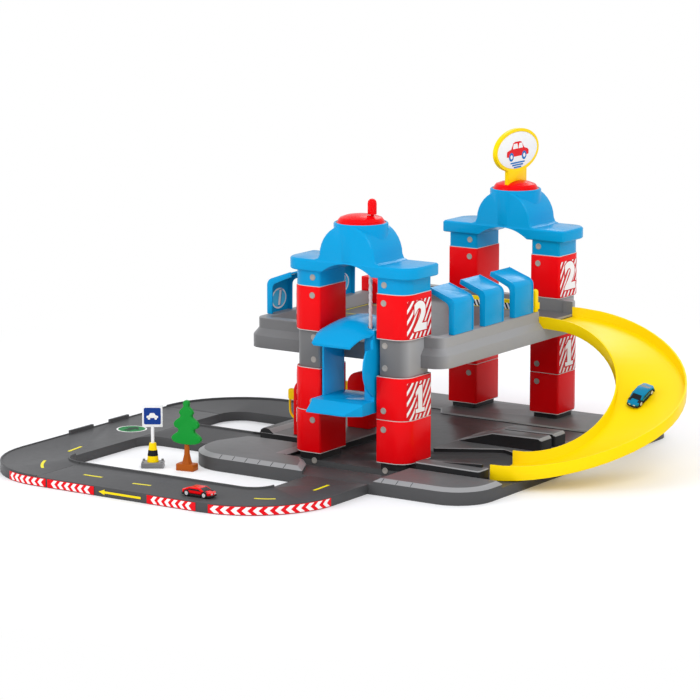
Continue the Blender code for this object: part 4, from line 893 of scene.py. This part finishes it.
def coneBand():
    cone = postSign["cone"]
    low, high = cone["band"]
    radii = [cone["low"] + (cone["high"] - cone["low"]) * (z - cone["foot"]) / cone["rise"] + cone["proud"]
             for z in (low, high)]
    band = ringBand(oval(radii[0], radii[0], 40), (low + high) / 2, high - low, 0.9, radii[1] / radii[0])
    bmesh.ops.translate(band, verts=band.verts, vec=(*postSign["at"][:2], 0))
    return band


def buildPostSign():
    size = postSign
    square, mark = bmesh.new(), bmesh.new()
    for side in (-1, 1):
        a = math.radians(size["turn"])
        normal = Vector((-math.sin(a), math.cos(a), 0)) * side
        place = facing(Vector(size["at"]) + normal * (size["half"] + lift), normal)
        merge(square, plate(roundRect(size["square"], size["square"], 3.0)), place)
        merge(mark, plate(carProfile(*size["car"])), place @ slid(0, 1.0, 0.2))
        for x, y in size["wheels"]:
            merge(mark, plate(oval(size["wheel"], size["wheel"], 16)), place @ slid(x, y, 0.2))
    finishPiece("road_sign_band", coneBand(), "windowBlack", "garage")
    finishPiece("road_sign_square", square, "labelNavy", "garage")
    finishPiece("road_sign_mark", mark, "labelWhite", "garage")
    print("road sign face ready")


cars = {
    "red": {"front": (-69.0, -745.0, 26.8), "rear": (-111.0, -745.0, 26.8), "axle": (0.0, 1.0, 0.0)},
    "blue": {"front": (471.066, 1.225, 146.046), "rear": (475.127, 38.888, 164.186),
             "axle": (0.98125, -0.013177, -0.192289)},
}
carShape = {"base": 21.0, "wheel": 6.5, "half": 14.6, "hub": 3.9, "tread": 14.6,
            "screens": (((21.0, 12.5), (9.0, 19.0), 24.0, 20.0), ((-15.0, 19.0), (-27.0, 13.5), 20.0, 22.0)),
            "sideWindow": ((-19.0, 13.4), (14.0, 13.4), (8.5, 16.9), (-14.0, 16.9)),
            "lamps": ((34.6, 8.6, 1), (-34.6, 9.6, -1)), "lamp": (5.0, 2.6, 1.0), "lampSide": 5.4,
            "spokes": 5, "spoke": ((-0.5, 0.8), (0.5, 0.8), (0.45, 3.5), (-0.45, 3.5))}


def carFrame(car):
    front, rear = Vector(car["front"]), Vector(car["rear"])
    ahead = (front - rear).normalized()
    aside = Vector(car["axle"]).normalized()
    above = ahead.cross(aside)
    turn = Matrix((ahead, aside, above)).transposed().to_4x4()
    return Matrix.Translation((front + rear) / 2 - above * carShape["wheel"]) @ turn


def slopePlate(front, rear, width, narrow, place):
    along = Vector((front[0] - rear[0], 0, front[1] - rear[1]))
    out = Vector((-along.z, 0, along.x)).normalized()
    at = Vector(((front[0] + rear[0]) / 2, 0, (front[1] + rear[1]) / 2)) + out * 0.15
    length = along.length * 0.42
    shape = [(width / 2, length), (-width / 2, length), (-narrow / 2, -length), (narrow / 2, -length)]
    across, ahead = Vector((0, 1, 0)), along.normalized()
    turn = Matrix((across, ahead, across.cross(ahead))).transposed().to_4x4()
    made = plate(shape, 0.3)
    bmesh.ops.transform(made, verts=made.verts, matrix=place @ Matrix.Translation(at) @ turn)
    return made


def sideWindow(side):
    window = bmesh.new()
    y = side * (carShape["half"] - 0.1)
    face = window.faces.new([window.verts.new((x, y, z)) for x, z in carShape["sideWindow"]])
    extruded(window, [face], (0, side * 0.35, 0))
    return window


def wheelHubs(x, place):
    size = carShape
    hubs = bmesh.new()
    for side in (-1, 1):
        spot = facing((x, side * (size["tread"] - 0.2), size["wheel"]), (0, side, 0))
        merge(hubs, plate(oval(size["hub"], size["hub"], 18), 0.35), place @ spot)
        for k in range(size["spokes"]):
            turn = Matrix.Rotation(2 * math.pi * k / size["spokes"], 4, "Z") @ slid(0, 0, 0.3)
            merge(hubs, plate(size["spoke"], 0.3), place @ spot @ turn)
    return hubs


def buildCarDetails():
    size = carShape
    for label, car in cars.items():
        place = carFrame(car)
        glass, lights = bmesh.new(), bmesh.new()
        for screen in size["screens"]:
            merge(glass, slopePlate(*screen, place))
        for side in (-1, 1):
            merge(glass, sideWindow(side), place)
            for x, z, end in size["lamps"]:
                spot = facing((x - end * 0.2, side * size["lampSide"], z), (end, 0, 0))
                merge(lights, plate(roundRect(*size["lamp"], 3), 0.3), place @ spot)
        finishPiece(f"{label}_car_glass", glass, "windowBlack", "garage")
        finishPiece(f"{label}_car_lamps", lights, "hubSilver", "garage")
        for end, x in (("front", size["base"]), ("rear", -size["base"])):
            body = f"{label}_car_{end}_wheels"
            finishPiece(f"{label}_car_{end}_hubs", wheelHubs(x, place), "hubSilver", body)
    print("car details ready")


padTicks = {"width": 1.3, "length": 12.5, "slope": 12.0, "drop": 7.0, "front": -475.0, "top": 34.0,
            "left": (-238, -206, -174, -142, -110, -78), "right": (160, 194, 228)}


def buildPadTicks():
    size = padTicks
    ticks = bmesh.new()
    for x in size["left"] + size["right"]:
        at = (x, size["front"] + size["slope"] / 2, size["top"] - size["drop"] / 2)
        place = facing(at, (0, -size["drop"], size["slope"]))
        merge(ticks, plate(roundRect(size["width"], size["length"], 0.5, 2), 0.12), place)
    finishPiece("pad_joints", ticks, "windowBlack", "garage")
    print("pad joints ready")


canopyEdge = {"wall": 60.0, "bend": 16.0, "roof": 52.0, "slope": 20.0, "half": 38.0, "wide": 2.2,
              "proud": 0.9, "sunk": 0.5, "in": 0.4, "foot": 290.6}


def canopyRim(out):
    size = canopyEdge
    points = [(out, 1.0), (out, size["wall"])]
    last = 90.0 - size["slope"]
    for k in range(1, 9):
        a = math.radians(last * k / 8)
        radius = size["bend"] + out
        points.append((-size["bend"] + radius * math.cos(a), size["wall"] + radius * math.sin(a)))
    x, z = points[-1]
    slope = math.radians(size["slope"])
    points.append((x - (size["roof"] - 1.0) * math.cos(slope), z + (size["roof"] - 1.0) * math.sin(slope)))
    return points


def buildCanopyRims():
    size = canopyEdge
    profile = canopyRim(size["proud"]) + canopyRim(-size["sunk"])[::-1]
    for side, edge, label in canopies["sides"]:
        rims = bmesh.new()
        for y in canopies["centres"]:
            for end in (-1, 1):
                rim = bmesh.new()
                start = y + end * (size["half"] - size["wide"] / 2 - size["in"]) - size["wide"] / 2
                loop = [rim.verts.new((edge + side * x, start, size["foot"] + z)) for x, z in profile]
                extruded(rim, [rim.faces.new(loop)], (0, size["wide"], 0))
                merge(rims, rim)
        finishPiece(f"canopy_rims_{label}", rims, "bluePlastic", "garage")
    print("canopy rims ready")


pumpFace = {"spots": ((-150.0, -75.0), (-199.0, -206.0)), "depth": 17.0, "foot": 34.3,
            "panel": (38.0, 34.0, 4.0), "panelZ": 44.0, "window": (30.0, 11.0, 2.0), "windowZ": 76.0,
            "slot": (26.0, 9.0, 1.5), "slotZ": 37.0, "button": 2.6, "buttons": (-10, 0, 10), "buttonZ": 52.0}


def buildPumpFaces():
    size = pumpFace
    panels, windows = bmesh.new(), bmesh.new()
    for x, y in size["spots"]:
        for side in (-1, 1):
            def spot(dx, z, out=0.0):
                return facing((x + dx, y + side * (size["depth"] + out), size["foot"] + z), (0, side, 0))

            merge(panels, plate(roundRect(*size["panel"])), spot(0, size["panelZ"]))
            merge(windows, plate(roundRect(*size["window"])), spot(0, size["windowZ"]))
            for dx in size["buttons"]:
                button = plate(oval(size["button"], size["button"], 18))
                merge(windows, button, spot(dx, size["buttonZ"], 0.2))
            merge(windows, plate(roundRect(*size["slot"])), spot(0, size["slotZ"], 0.2))
    finishPiece("pump_panels", panels, "labelWhite", "garage")
    finishPiece("pump_windows", windows, "windowBlack", "garage")
    print("pump faces ready")


buildCamera()
buildLamps()
buildWorld()
buildFloor()
dressNodes()
buildCaps()
buildSeams()
buildBlockStickers()
buildCanopyStickers()
buildSignMarks()
buildDeckMarks()
buildRoadMarks()
buildSkirtStickers()
buildGatePanel()
buildPostSign()
buildCarDetails()
buildPadTicks()
buildCanopyRims()
buildPumpFaces()
